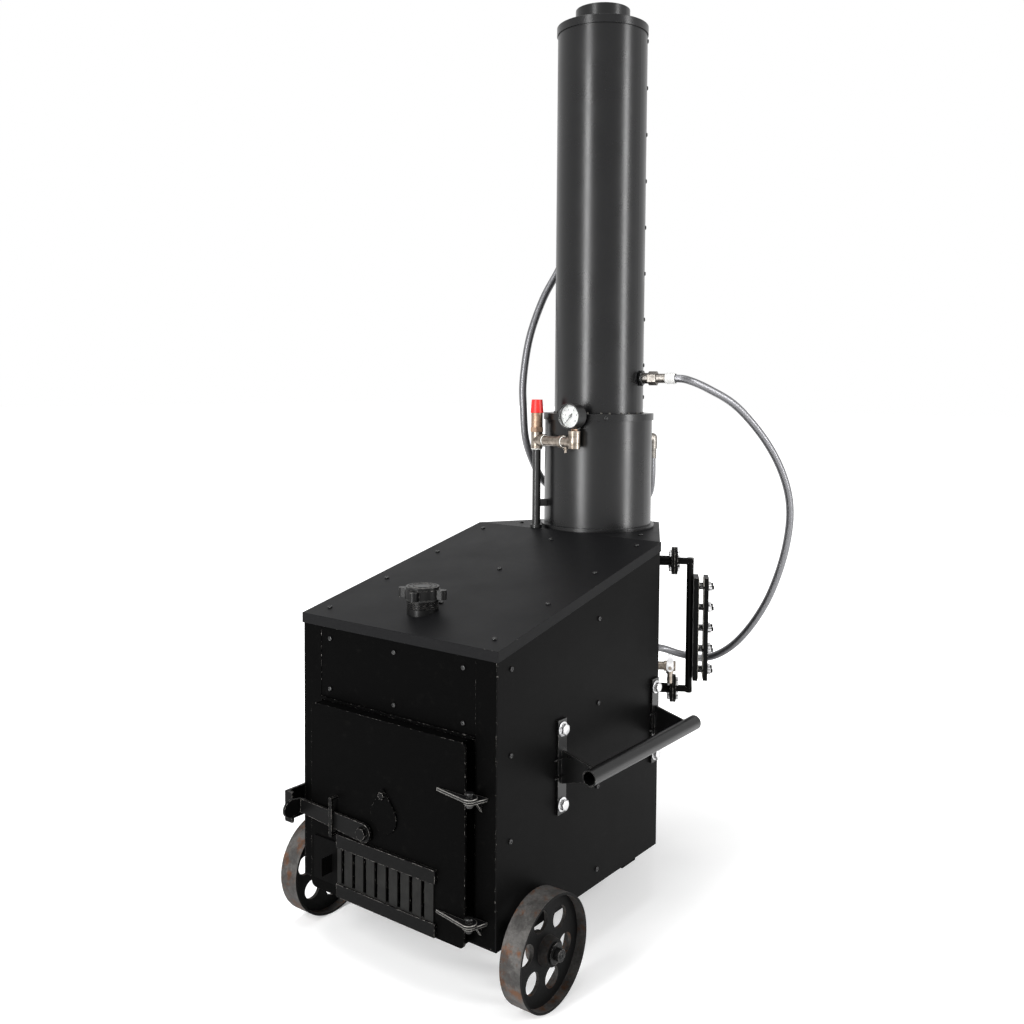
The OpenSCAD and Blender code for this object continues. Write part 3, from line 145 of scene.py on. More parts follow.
def srgb(code, alpha=1.0):
    """A hex colour as the linear numbers that shaders take, by the standard sRGB curve."""
    channels = [int(code[i:i + 2], 16) / GREY_STEPS for i in (0, 2, 4)]
    linear = [c / 12.92 if c <= 0.04045 else ((c + 0.055) / 1.055) ** 2.4 for c in channels]
    return (*linear, alpha)


# %% One function for every node


def add(tree, kind, sockets=None, out=None, **settings):
    """Adds a node and returns the output that is named, or else the first in use.

    A socket that gets another node's output is linked, and any other value is set on it.
    """
    node = tree.nodes.new(kind)
    for key, value in settings.items():
        setattr(node, key, value)
    for key, value in (sockets or {}).items():
        socket = node.inputs[key] if isinstance(key, int) else next(
            s for s in node.inputs if s.enabled and s.name == key)
        if isinstance(value, bpy.types.NodeSocket):
            tree.links.new(value, socket)
        else:
            socket.default_value = value
    return node.outputs[out] if out else next((s for s in node.outputs if s.enabled), None)


def empty_material(name):
    """A material with an empty tree, and the tree."""
    material = bpy.data.materials.new(name)
    material.use_nodes = True
    material.node_tree.nodes.clear()
    return material, material.node_tree


def cells(size_mm):
    """A noise scale in cells a metre, from the size of one cell in millimetres."""
    return 1 / (size_mm * MM)


# %% [markdown]
# ## Black paint
#
# The casing is sheet steel under heat-proof black paint from a spray can or a gun. It
# dries to a fine orange peel that breaks up reflections, holds a little dust, and chips
# to bare metal on edges. A flat black colour would look like plastic. So noise gives the
# peel as bump, slow clouds change the gloss, and a mask finds the worn edges.

# %% Worn edges
EDGE_SAMPLES = 4
EDGE_FROM, EDGE_TO = 0.01, 0.12


def worn_edges(tree, radius):
    """1 on edges and 0 on flats, from how far a rounded normal leans from the real one."""
    smooth = add(tree, "ShaderNodeBevel", {"Radius": radius}, samples=EDGE_SAMPLES)
    real = add(tree, "ShaderNodeNewGeometry", out="Normal")
    alike = add(tree, "ShaderNodeVectorMath", {0: smooth, 1: real}, out="Value",
                operation="DOT_PRODUCT")
    lean = add(tree, "ShaderNodeMath", {0: 1.0, 1: alike}, operation="SUBTRACT")
    return add(tree, "ShaderNodeMapRange",
               {"Value": lean, "From Min": EDGE_FROM, "From Max": EDGE_TO},
               interpolation_type="SMOOTHSTEP")


# %% Black paint
PEEL_MM = 1.4286
CLOUD_MM = 111.11
DUST_MM = 16.667
CHIP_MM = 7.6923
CHIP_FROM, CHIP_TO, CHIP_GROWTH = 0.62, 0.7, 0.2
DUST_SHARE = 0.06


def black_paint(name, colour="0e0e0f", worn="8a8783", wear=0.0, roughness=0.38,
                grain=0.00004, edge=0.0015, ior=1.4):
    """Satin black paint with a fine orange peel, dust and bare metal on worn edges."""
    material, tree = empty_material(name)
    place = add(tree, "ShaderNodeTexCoord", out="Object")
    cloud = add(tree, "ShaderNodeTexNoise", {"Vector": place, "Scale": cells(CLOUD_MM),
                                             "Detail": 4, "Roughness": 0.55})
    rough = add(tree, "ShaderNodeMix", {"Factor": cloud, "A": roughness - 0.07,
                                        "B": roughness + 0.1}, data_type="FLOAT")
    specks = add(tree, "ShaderNodeTexNoise", {"Vector": place, "Scale": cells(DUST_MM),
                                              "Detail": 5, "Roughness": 0.7})
    dusty = add(tree, "ShaderNodeMapRange", {"Value": specks, "From Min": 0.55,
                                             "From Max": 0.9}, interpolation_type="SMOOTHSTEP")
    thin = add(tree, "ShaderNodeMath", {0: dusty, 1: DUST_SHARE}, operation="MULTIPLY")
    base = add(tree, "ShaderNodeMix", {"Factor": thin, "A": srgb(colour), "B": srgb("4a4946")},
               data_type="RGBA")
    metal = 0.0
    if wear > 0:
        flakes = add(tree, "ShaderNodeTexNoise", {"Vector": place, "Scale": cells(CHIP_MM),
                                                  "Detail": 6, "Roughness": 0.75})
        chips = add(tree, "ShaderNodeMapRange",
                    {"Value": flakes, "From Min": CHIP_FROM - CHIP_GROWTH * wear,
                     "From Max": CHIP_TO - CHIP_GROWTH * wear},
                    interpolation_type="SMOOTHSTEP")
        metal = add(tree, "ShaderNodeMath", {0: worn_edges(tree, edge), 1: chips},
                    operation="MULTIPLY")
        base = add(tree, "ShaderNodeMix", {"Factor": metal, "A": base, "B": srgb(worn)},
                   data_type="RGBA")
        rough = add(tree, "ShaderNodeMix", {"Factor": metal, "A": rough, "B": 0.5},
                    data_type="FLOAT")
    peel = add(tree, "ShaderNodeTexNoise", {"Vector": place, "Scale": cells(PEEL_MM),
                                            "Detail": 2, "Roughness": 0.55})
    smooth = add(tree, "ShaderNodeBevel", {"Radius": edge * 0.6}, samples=EDGE_SAMPLES)
    normal = add(tree, "ShaderNodeBump", {"Height": peel, "Distance": grain, "Strength": 0.6,
                                          "Normal": smooth})
    shader = add(tree, "ShaderNodeBsdfPrincipled",
                 {"Base Color": base, "Roughness": rough, "Metallic": metal, "IOR": ior,
                  "Normal": normal})
    add(tree, "ShaderNodeOutputMaterial", {"Surface": shader})
    return material


# %% [markdown]
# The same paint looks different on each piece: hand-brushed and dull on the casing, worn
# on what hands touch, glossier on the rolled chimney and on screws. A separate shader for
# each would work, but one function with a few values keeps them one family. Fresh paint
# has an IOR near 1.5. It was lowered, sheet by sheet, until the render was as dark as the
# picture: heat and soot leave old stove paint with a weaker mirror.

# %% Black paints
# Casing sheets: dull stove paint, so the sides read as a deep, flat black.
PAINT = black_paint("casing_paint", colour="0a0a0a", wear=0.1, ior=1.09, roughness=0.4)
# Lid: the same paint with a little more sheen, so its upper side turns dark grey.
PAINT_LID = black_paint("lid_paint", wear=0.1, ior=1.15, roughness=0.42)
# Levers, rails and gauge bars: paint rubbed thin, with bare steel along the edges.
PAINT_WORN = black_paint("worn_paint", colour="0a0a0a", wear=0.8, roughness=0.36, ior=1.12)
# Filler neck and cap: rubbed by hands, so it shines and its edges are grey.
PAINT_FILLER = black_paint("filler_paint", colour="0a0a0a", wear=0.6, roughness=0.33, ior=1.25)
# Hinge lugs: flame-cut plate whose paint has flaked off round the edges.
PAINT_LUGS = black_paint("chipped_paint", worn="a5a39e", wear=1.3, roughness=0.4, ior=1.2,
                         edge=0.003)
# Door, front frame and the parts underneath: matt black paint, darker than the casing's
# as painted shade on faces that lie in shade, with real wear on the edges.
PAINT_SHADED = black_paint("front_paint_painted_shade", colour="050505", wear=0.4, roughness=0.44, ior=1.05)
# Chimney: smooth sprayed enamel on rolled sheet, which mirrors soft upright bands.
PAINT_SHELL = black_paint("chimney_paint", colour="050506", roughness=0.27, grain=0.00002,
                          ior=1.4)
# Handles: enamelled steel tube, polished by palms.
PAINT_TUBE = black_paint("handle_paint", colour="0a0a0a", wear=0.5, roughness=0.28, ior=1.38)
# Screws: blackened steel with a small, sharp glint.
SCREW_BLACK = black_paint("screw_black", colour="0c0c0c", wear=0.3, roughness=0.25,
                          edge=0.0006, ior=1.4)
# Hub collars and axle: painted forgings, worn bright where they rub.
IRON_DARK = black_paint("hub_collar", colour="101010", wear=0.8, roughness=0.4, ior=1.2)
print("black paints:", sum("paint" in m.name for m in bpy.data.materials))

# %% [markdown]
# ## Grey slats and a black tab
#
# The damper is a sliding steel plate in front of the ash opening. Its slats get a mottled
# grey paint, and the tab outside the door a near black one. Two materials would need the
# mesh to be split, so one material changes from black to grey along X.

# %% Slats
TAB_END_X = -0.132
TAB_BLEND = 0.002


def slat_paint(name):
    """Mottled grey paint on the slats, near black on the tab that the hand moves."""
    material, tree = empty_material(name)
    place = add(tree, "ShaderNodeTexCoord", out="Object")
    along = add(tree, "ShaderNodeSeparateXYZ", {0: place}, out="X")
    slats = add(tree, "ShaderNodeMapRange", {"Value": along, "From Min": TAB_END_X - TAB_BLEND,
                                             "From Max": TAB_END_X},
                interpolation_type="SMOOTHSTEP")
    cloud = add(tree, "ShaderNodeTexNoise", {"Vector": place, "Scale": cells(25),
                                             "Detail": 5, "Roughness": 0.55})
    greyed = add(tree, "ShaderNodeMix", {"Factor": cloud, "A": srgb("151515"),
                                         "B": srgb("2a2a29")}, data_type="RGBA")
    base = add(tree, "ShaderNodeMix", {"Factor": slats, "A": srgb("070707"), "B": greyed},
               data_type="RGBA")
    rough = add(tree, "ShaderNodeMix", {"Factor": cloud, "A": 0.4, "B": 0.55},
                data_type="FLOAT")
    grain = add(tree, "ShaderNodeTexNoise", {"Vector": place, "Scale": cells(2),
                                             "Detail": 3, "Roughness": 0.55})
    smooth = add(tree, "ShaderNodeBevel", {"Radius": 0.0008}, samples=EDGE_SAMPLES)
    normal = add(tree, "ShaderNodeBump", {"Height": grain, "Distance": 0.00005,
                                          "Strength": 0.6, "Normal": smooth})
    shader = add(tree, "ShaderNodeBsdfPrincipled",
                 {"Base Color": base, "Roughness": rough, "Metallic": 0.0, "IOR": 1.06,
                  "Normal": normal})
    add(tree, "ShaderNodeOutputMaterial", {"Surface": shader})
    return material


PAINT_SLATS = slat_paint("slat_paint")
print("slats turn grey at x", TAB_END_X)

# %% [markdown]
# ## Bare and plated metal
#
# Bolts and nuts are zinc plated, the header's fittings are plated brass and the valve is
# cast bronze. Such metal is a coloured mirror, blurred by fine scratches and dulled in
# patches by handling. A photograph could be wrapped round it, but noise at two sizes
# does the same on any shape: patches of tarnish, and a grain like fine grit. A metal
# keeps Blender's own IOR, because its mirror comes from its colour.

# %% Metal
GRIT_MM = 0.66667


def bare_metal(name, colour="b9b9ba", dark="6d6b68", roughness=0.32, tarnish=0.4):
    """Zinc, brass or steel with light scratches and tarnish."""
    material, tree = empty_material(name)
    place = add(tree, "ShaderNodeTexCoord", out="Object")
    stain = add(tree, "ShaderNodeTexNoise", {"Vector": place, "Scale": cells(12.5),
                                             "Detail": 5, "Roughness": 0.6})
    patches = add(tree, "ShaderNodeMapRange", {"Value": stain, "From Min": 0.35,
                                               "From Max": 0.75},
                  interpolation_type="SMOOTHSTEP")
    film = add(tree, "ShaderNodeMath", {0: patches, 1: tarnish}, operation="MULTIPLY")
    base = add(tree, "ShaderNodeMix", {"Factor": film, "A": srgb(colour), "B": srgb(dark)},
               data_type="RGBA")
    rough = add(tree, "ShaderNodeMix", {"Factor": patches, "A": roughness,
                                        "B": roughness + 0.2}, data_type="FLOAT")
    grit = add(tree, "ShaderNodeTexNoise", {"Vector": place, "Scale": cells(GRIT_MM),
                                            "Detail": 2, "Roughness": 0.55})
    smooth = add(tree, "ShaderNodeBevel", {"Radius": 0.0006}, samples=EDGE_SAMPLES)
    normal = add(tree, "ShaderNodeBump", {"Height": grit, "Distance": 0.00003,
                                          "Strength": 0.5, "Normal": smooth})
    shader = add(tree, "ShaderNodeBsdfPrincipled",
                 {"Base Color": base, "Roughness": rough, "Metallic": 1.0,
                  "Normal": normal})
    add(tree, "ShaderNodeOutputMaterial", {"Surface": shader})
    return material


# Zinc plate on bolts and nuts: bright and cool.
ZINC = bare_metal("bright_zinc", "c9c9ca", "8b8a88", 0.26)
# Mill steel of the ash pan: grey and soft.
STEEL = bare_metal("bare_steel", "8d8b88", "55524e", 0.4)
# Nickel on brass pipe fittings: a warm grey where the plate has gone dull.
NICKEL = bare_metal("plated_brass", "8f867c", "574e45", 0.34, tarnish=0.7)
# Cast bronze of the safety valve: brownish and blurred.
BRASS = bare_metal("valve_bronze", "957d6b", "584538", 0.42, tarnish=0.6)
# Raw weld metal on the chimney's foot: dark, scaly specks.
TACK = bare_metal("weld_tack", "55534f", "2c2a28", 0.5)
# Hose unions: plated steel, darker than the bolts.
UNION = bare_metal("dark_union", "7b7772", "45423e", 0.36, tarnish=0.6)
print("metals:", ZINC.name, STEEL.name, NICKEL.name, BRASS.name, TACK.name, UNION.name)

# %% [markdown]
# ## Cast iron wheels
#
# The wheels are sand cast. Their webs are painted, but the treads have rolled over
# ground until they are bare grey iron with rust in the pits. Painting a mask by hand
# would do, but the tread is simply where the surface doesn't face along the axle, so
# the mask is read from the normal.

# %% Cast iron


def cast_iron(name):
    """Dark paint on the webs, bare grey metal with rust on the treads."""
    material, tree = empty_material(name)
    place = add(tree, "ShaderNodeTexCoord", out="Object")
    facing = add(tree, "ShaderNodeNewGeometry", out="Normal")
    along = add(tree, "ShaderNodeSeparateXYZ", {0: facing}, out="X")
    side = add(tree, "ShaderNodeMath", {0: along}, operation="ABSOLUTE")
    round_about = add(tree, "ShaderNodeMath", {0: 1.0, 1: side}, operation="SUBTRACT")
    tread = add(tree, "ShaderNodeMapRange", {"Value": round_about, "From Min": 0.75,
                                             "From Max": 0.95}, interpolation_type="SMOOTHSTEP")
    pits = add(tree, "ShaderNodeTexNoise", {"Vector": place, "Scale": cells(6.25),
                                            "Detail": 6, "Roughness": 0.7})
    scuffs = add(tree, "ShaderNodeTexNoise", {"Vector": place, "Scale": cells(45.455),
                                              "Detail": 5, "Roughness": 0.65})
    patches = add(tree, "ShaderNodeMapRange", {"Value": scuffs, "From Min": 0.42,
                                               "From Max": 0.62},
                  interpolation_type="SMOOTHSTEP")
    bare = add(tree, "ShaderNodeMix", {"Factor": patches, "A": 0.55, "B": 1.0},
               data_type="FLOAT")
    worn = add(tree, "ShaderNodeMath", {0: tread, 1: bare}, operation="MULTIPLY")
    grey = add(tree, "ShaderNodeMix", {"Factor": pits, "A": srgb("2a2928"),
                                       "B": srgb("666462")}, data_type="RGBA")
    blooms = add(tree, "ShaderNodeTexNoise", {"Vector": place, "Scale": cells(33.333),
                                              "Detail": 6, "Roughness": 0.7})
    rust = add(tree, "ShaderNodeMapRange", {"Value": blooms, "From Min": 0.5,
                                            "From Max": 0.66}, interpolation_type="SMOOTHSTEP")
    rusty = add(tree, "ShaderNodeMix", {"Factor": rust, "A": grey, "B": srgb("5a4030")},
                data_type="RGBA")
    base = add(tree, "ShaderNodeMix", {"Factor": worn, "A": srgb("090909"), "B": rusty},
               data_type="RGBA")
    rough = add(tree, "ShaderNodeMix", {"Factor": pits, "A": 0.42, "B": 0.7},
                data_type="FLOAT")
    metal = add(tree, "ShaderNodeMath", {0: worn, 1: 0.35}, operation="MULTIPLY")
    smooth = add(tree, "ShaderNodeBevel", {"Radius": 0.0012}, samples=EDGE_SAMPLES)
    normal = add(tree, "ShaderNodeBump", {"Height": pits, "Distance": 0.0003,
                                          "Strength": 0.7, "Normal": smooth})
    shader = add(tree, "ShaderNodeBsdfPrincipled",
                 {"Base Color": base, "Roughness": rough, "Metallic": metal, "IOR": 1.15,
                  "Normal": normal})
    add(tree, "ShaderNodeOutputMaterial", {"Surface": shader})
    return material


IRON = cast_iron("wheel_iron")
print("wheel iron nodes:", len(IRON.node_tree.nodes))

# %% [markdown]
# ## Burnt steel
#
# The fire chamber's plates and grate are steel that soot, scale and rust have coloured.
# They are seen only through the open door, so one coarse noise for colour and for bump
# is enough: it reads as flaky scale and swallows nearly all light.

# %% Burnt steel


def burnt_steel(name):
    """Sooty, scaled steel inside the fire chamber."""
    material, tree = empty_material(name)
    place = add(tree, "ShaderNodeTexCoord", out="Object")
    scale = add(tree, "ShaderNodeTexNoise", {"Vector": place, "Scale": cells(22.222),
                                             "Detail": 7, "Roughness": 0.7})
    rust = add(tree, "ShaderNodeMapRange", {"Value": scale, "From Min": 0.4,
                                            "From Max": 0.65}, interpolation_type="SMOOTHSTEP")
    base = add(tree, "ShaderNodeMix", {"Factor": rust, "A": srgb("1a1715"),
                                       "B": srgb("4a3226")}, data_type="RGBA")
    normal = add(tree, "ShaderNodeBump", {"Height": scale, "Distance": 0.0006,
                                          "Strength": 0.7})
    shader = add(tree, "ShaderNodeBsdfPrincipled",
                 {"Base Color": base, "Roughness": 0.82, "Metallic": 0.2, "IOR": 1.45,
                  "Normal": normal})
    add(tree, "ShaderNodeOutputMaterial", {"Surface": shader})
    return material


SOOT = burnt_steel("burnt_steel")
print("burnt steel:", SOOT.name)

# %% [markdown]
# ## Plastic, rubber, fibre and print
#
# Small pieces in plain colours: the valve's red cap, the gauge's dial and case, gaskets
# and tape. A single colour looks like a drawing, because a moulded surface has a grain
# and slight shade changes. One function adds both, and only colour, gloss and grain
# differ.

# %% Plain surfaces
SHADE_MM = 33.333
SHADE_SHARE = 0.82


def plain(name, colour, roughness, grain_mm=2, depth=0.00002):
    """A moulded or cast surface with a fine grain and slight shade changes."""
    material, tree = empty_material(name)
    place = add(tree, "ShaderNodeTexCoord", out="Object")
    cloud = add(tree, "ShaderNodeTexNoise", {"Vector": place, "Scale": cells(SHADE_MM),
                                             "Detail": 4, "Roughness": 0.55})
    darker = tuple(c * SHADE_SHARE for c in srgb(colour)[:3]) + (1.0,)
    base = add(tree, "ShaderNodeMix", {"Factor": cloud, "A": darker, "B": srgb(colour)},
               data_type="RGBA")
    rough = add(tree, "ShaderNodeMix", {"Factor": cloud, "A": roughness - 0.05,
                                        "B": roughness + 0.08}, data_type="FLOAT")
    grain = add(tree, "ShaderNodeTexNoise", {"Vector": place, "Scale": cells(grain_mm),
                                             "Detail": 2, "Roughness": 0.55})
    smooth = add(tree, "ShaderNodeBevel", {"Radius": 0.0006}, samples=EDGE_SAMPLES)
    normal = add(tree, "ShaderNodeBump", {"Height": grain, "Distance": depth,
                                          "Strength": 0.5, "Normal": smooth})
    shader = add(tree, "ShaderNodeBsdfPrincipled",
                 {"Base Color": base, "Roughness": rough, "Metallic": 0.0, "IOR": 1.45,
                  "Normal": normal})
    add(tree, "ShaderNodeOutputMaterial", {"Surface": shader})
    return material


# Moulded red plastic of the safety valve's cap: clean, with a soft shine.
RED = plain("red_cap", "cf1f1c", 0.4)
# Dial card: matt white print on tinplate, and its black ink.
DIAL = plain("dial_white", "f6f6f4", 0.5)
INK = plain("dial_ink", "101010", 0.5)
# Gauge case: black enamelled pressing, a little glossy.
CASE = plain("gauge_case_black", "121212", 0.3)
# Moulded rubber of the filler's gasket: dull black.
RUBBER = plain("black_rubber", "151514", 0.6)
# Pressed fibre gasket: pale, dry and coarse.
FIBRE = plain("fibre_gasket", "bdbab2", 0.7, 2.5, 0.0001)
# Heat-shrunk plastic sleeve on the hose: off-white and smooth.
SLEEVE = plain("white_sleeve", "d2d2d0", 0.55)
# Thread tape: white, waxy and wrinkled.
TAPE = plain("thread_tape", "ecebe6", 0.65, 3.3333, 0.0002)
print("plain surfaces:", RED.name, DIAL.name, INK.name, CASE.name, RUBBER.name)

# %% [markdown]
# ## Hose braid
#
# The hoses are rubber under a braid of fine steel wire: bundles run round the hose both
# ways and cross in diamonds. Modelling each wire would take millions of faces. So the
# tube carries its own length and turn as a UV map, two sine waves run round it in
# opposite ways, and their product is the weave. It is drawn coarser than real wire, so
# that it shows at this distance.

# %% Braid
STRANDS = 14
BRAID_PITCH = 45 * MM


def braid(name):
    """A hose's braid of grey strands, laid on the tube's own length and turn."""
    material, tree = empty_material(name)
    place = add(tree, "ShaderNodeUVMap", uv_map="along")
    run_of = add(tree, "ShaderNodeSeparateXYZ", {0: place}, out="X")
    turn_of = run_of.node.outputs["Y"]
    waves = []
    for sign in (1, -1):
        turn = add(tree, "ShaderNodeMath", {0: turn_of, 1: sign * STRANDS},
                   operation="MULTIPLY")
        run = add(tree, "ShaderNodeMath", {0: run_of, 1: STRANDS / BRAID_PITCH},
                  operation="MULTIPLY")
        both = add(tree, "ShaderNodeMath", {0: turn, 1: run}, operation="ADD")
        phase = add(tree, "ShaderNodeMath", {0: both, 1: math.tau}, operation="MULTIPLY")
        waves.append(add(tree, "ShaderNodeMath", {0: phase}, operation="SINE"))
    weave = add(tree, "ShaderNodeMath", {0: waves[0], 1: waves[1]}, operation="MULTIPLY")
    height = add(tree, "ShaderNodeMapRange", {"Value": weave, "From Min": -0.8,
                                              "From Max": 0.8},
                 interpolation_type="SMOOTHSTEP")
    # Darker grey where the weave lies low: painted shade between the strands.
    base = add(tree, "ShaderNodeMix", {"Factor": height, "A": srgb("414142"),
                                       "B": srgb("848487")}, data_type="RGBA")
    rough = add(tree, "ShaderNodeMix", {"Factor": height, "A": 0.42, "B": 0.3},
                data_type="FLOAT")
    normal = add(tree, "ShaderNodeBump", {"Height": height, "Distance": 0.00012,
                                          "Strength": 0.5})
    shader = add(tree, "ShaderNodeBsdfPrincipled",
                 {"Base Color": base, "Roughness": rough, "Metallic": 0.8, "IOR": 1.45,
                  "Normal": normal})
    add(tree, "ShaderNodeOutputMaterial", {"Surface": shader})
    return material


BRAID = braid("hose_braid")
print("braid pitch:", BRAID_PITCH, "m")

# %% [markdown]
# ## Glass
#
# The level gauge has a thick glass tube and the dial a flat pane. Clear glass has no
# colour of its own. It bends light and mirrors a little, so the shader only turns
# transmission on, with the IOR of window glass and a hint of unevenness in the gloss.

# %% Glass


def clear_glass(name):
    """Window glass with slightly uneven gloss."""
    material, tree = empty_material(name)
    place = add(tree, "ShaderNodeTexCoord", out="Object")
    smear = add(tree, "ShaderNodeTexNoise", {"Vector": place, "Scale": cells(25),
                                             "Detail": 3, "Roughness": 0.55})
    rough = add(tree, "ShaderNodeMix", {"Factor": smear, "A": 0.01, "B": 0.03},
                data_type="FLOAT")
    shader = add(tree, "ShaderNodeBsdfPrincipled",
                 {"Base Color": srgb("fdfefe"), "Roughness": rough, "Metallic": 0.0,
                  "IOR": 1.45, "Transmission Weight": 1.0})
    add(tree, "ShaderNodeOutputMaterial", {"Surface": shader})
    return material


GLASS = clear_glass("clear_glass")
print("glass:", GLASS.name)

# %% [markdown]
# ## Riser pipe
#
# The riser is black steam pipe up to the header and plated brass from there on. It is
# one CAD node, and a CAD mesh is never split, so its material changes with height.

# %% Riser
PLATED_FROM = at(0, 0, 935).z
PLATED_BLEND = 1 * MM


def riser_finish(name):
    """Black pipe up to the header, nickel-plated fittings from there on."""
    material, tree = empty_material(name)
    place = add(tree, "ShaderNodeTexCoord", out="Object")
    height = add(tree, "ShaderNodeSeparateXYZ", {0: place}, out="Z")
    plated = add(tree, "ShaderNodeMapRange", {"Value": height, "From Min": PLATED_FROM,
                                              "From Max": PLATED_FROM + PLATED_BLEND},
                 interpolation_type="SMOOTHSTEP")
    stain = add(tree, "ShaderNodeTexNoise", {"Vector": place, "Scale": cells(14.286),
                                             "Detail": 5, "Roughness": 0.55})
    tone = add(tree, "ShaderNodeMapRange", {"Value": stain, "From Min": 0.35,
                                            "From Max": 0.7}, interpolation_type="SMOOTHSTEP")
    nickel = add(tree, "ShaderNodeMix", {"Factor": tone, "A": srgb("938a80"),
                                         "B": srgb("574e45")}, data_type="RGBA")
    base = add(tree, "ShaderNodeMix", {"Factor": plated, "A": srgb("101010"), "B": nickel},
               data_type="RGBA")
    rough = add(tree, "ShaderNodeMix", {"Factor": tone, "A": 0.28, "B": 0.42},
                data_type="FLOAT")
    grain = add(tree, "ShaderNodeTexNoise", {"Vector": place, "Scale": cells(1.1111),
                                             "Detail": 2, "Roughness": 0.55})
    smooth = add(tree, "ShaderNodeBevel", {"Radius": 0.001}, samples=EDGE_SAMPLES)
    normal = add(tree, "ShaderNodeBump", {"Height": grain, "Distance": 0.00004,
                                          "Strength": 0.5, "Normal": smooth})
    shader = add(tree, "ShaderNodeBsdfPrincipled",
                 {"Base Color": base, "Roughness": rough, "Metallic": plated, "IOR": 1.45,
                  "Normal": normal})
    add(tree, "ShaderNodeOutputMaterial", {"Surface": shader})
    return material


RISER = riser_finish("riser_finish")
print("plated above z", round(PLATED_FROM, 4))

# %% [markdown]
# ## Pieces and bodies
#
# Every piece that is added rides on one of the machine's moving bodies, so that it moves
# with the door, the cap or a wheel. Each body is an empty named after it, and the piece
# is parented to that empty, so one call for each piece is enough. A modifier's result is
# turned into a plain mesh at once.

# %% A piece and its body


def make_object(name, mesh, material=None, smooth=True):
    """A scene object from a mesh, with its finish."""
    piece = bpy.data.objects.new(name, mesh)
    bpy.context.scene.collection.objects.link(piece)
    if material:
        mesh.materials.append(material)
    if smooth:
        mesh.shade_smooth()
    return piece


def settle(piece, body):
    """The piece rides on a body."""
    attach(piece, body)
    return piece


def bake(piece):
    """Replaces the piece's mesh with its evaluated one and drops its modifiers."""
    view = bpy.context.evaluated_depsgraph_get()
    view.update()
    mesh = bpy.data.meshes.new_from_object(piece.evaluated_get(view), depsgraph=view)
    piece.modifiers.clear()
    piece.data = mesh
    return piece


# %% [markdown]
# ## Tubes and turned parts
#
# A hose and a weld bead are both a round section that is carried along a path. A curve
# with a bevel would give the same form, but not the hose's length as a UV map, so the
# rings are laid one by one. Each ring's normal is carried over from the last one, which
# keeps the tube from twisting.

# %% Frames along a path
FIRST_NORMAL = (1, 0.2, 0.1)


def frame_along(points):
    """A tangent and a carried normal for each point of a path."""
    tangents = []
    for i in range(len(points)):
        ahead = points[min(i + 1, len(points) - 1)] - points[max(i - 1, 0)]
        tangents.append(ahead.normalized())
    start = Vector(FIRST_NORMAL)
    normals = [(start - start.dot(tangents[0]) * tangents[0]).normalized()]
    for tangent in tangents[1:]:
        carried = normals[-1] - normals[-1].dot(tangent) * tangent
        normals.append(carried.normalized())
    return tangents, normals


# %% A closed tube


def tube(name, points, radius, material, sides=16, radii=None):
    """A closed tube along points, with its length and turn kept in a UV map."""
    mesh = bpy.data.meshes.new(name)
    work = bmesh.new()
    uv = work.loops.layers.uv.new("along")
    tangents, normals = frame_along(points)
    travelled = [0.0]
    for a, b in zip(points, points[1:]):
        travelled.append(travelled[-1] + (b - a).length)
    rings = []
    for i, point in enumerate(points):
        across = tangents[i].cross(normals[i])
        reach = radii[i] if radii else radius
        rings.append([work.verts.new(point + reach * (
            math.cos(math.tau * k / sides) * normals[i]
            + math.sin(math.tau * k / sides) * across)) for k in range(sides)])
    for i in range(len(points) - 1):
        for k in range(sides):
            after = (k + 1) % sides
            face = work.faces.new((rings[i][k], rings[i][after], rings[i + 1][after],
                                   rings[i + 1][k]))
            marks = ((travelled[i], k), (travelled[i], k + 1), (travelled[i + 1], k + 1),
                     (travelled[i + 1], k))
            for loop, (run, turn) in zip(face.loops, marks):
                loop[uv].uv = (run, turn / sides)
    work.faces.new(rings[0][::-1])
    work.faces.new(rings[-1])
    work.normal_update()
    bmesh.ops.recalc_face_normals(work, faces=work.faces)
    work.to_mesh(mesh)
    work.free()
    return make_object(name, mesh, material)


# %% [markdown]
# Nuts, rings, heads and bezels are turned on a lathe, and the same idea makes them here:
# half an outline is spun about Z. The Screw modifier could do it too, but a short
# function closes the poles and gives one clean mesh.

# %% Turned solids


def revolve_mesh(name, profile, sides=32, open_middle=False):
    """A closed solid of revolution about Z from (radius, height) points.

    With an open middle the profile is a closed ring, so nothing covers the hole.
    """
    mesh = bpy.data.meshes.new(name)
    work = bmesh.new()
    rings = []
    for radius, height in profile:
        if radius <= 0:
            rings.append([work.verts.new((0, 0, height))])
        else:
            rings.append([work.verts.new((radius * math.cos(math.tau * k / sides),
                                          radius * math.sin(math.tau * k / sides), height))
                          for k in range(sides)])
    following = rings[1:] + rings[:1] if open_middle else rings[1:]
    for low, high in zip(rings, following):
        for k in range(sides):
            after = (k + 1) % sides
            corners = [low[k % len(low)], low[after % len(low)], high[after % len(high)],
                       high[k % len(high)]]
            unique = list(dict.fromkeys(corners))
            if len(unique) > 2:
                work.faces.new(unique)
    for ring, flip in ((rings[0], True), (rings[-1], False)):
        if len(ring) > 2 and not open_middle:
            work.faces.new(ring[::-1] if flip else ring)
    bmesh.ops.recalc_face_normals(work, faces=work.faces)
    work.to_mesh(mesh)
    work.free()
    return mesh


def aimed(direction):
    """A rotation that turns +Z toward a direction."""
    return Vector((0, 0, 1)).rotation_difference(Vector(direction)).to_matrix().to_4x4()


def turned_ring(name, spot, way, profile, material, body="cabinet", sides=40):
    """A turned piece whose outline is in millimetres, set at a spot and aimed."""
    mesh = revolve_mesh(name, [(r * MM, h * MM) for r, h in profile], sides)
    mesh.transform(Matrix.Translation(spot) @ aimed(way))
    return settle(make_object(name, mesh, material), body)


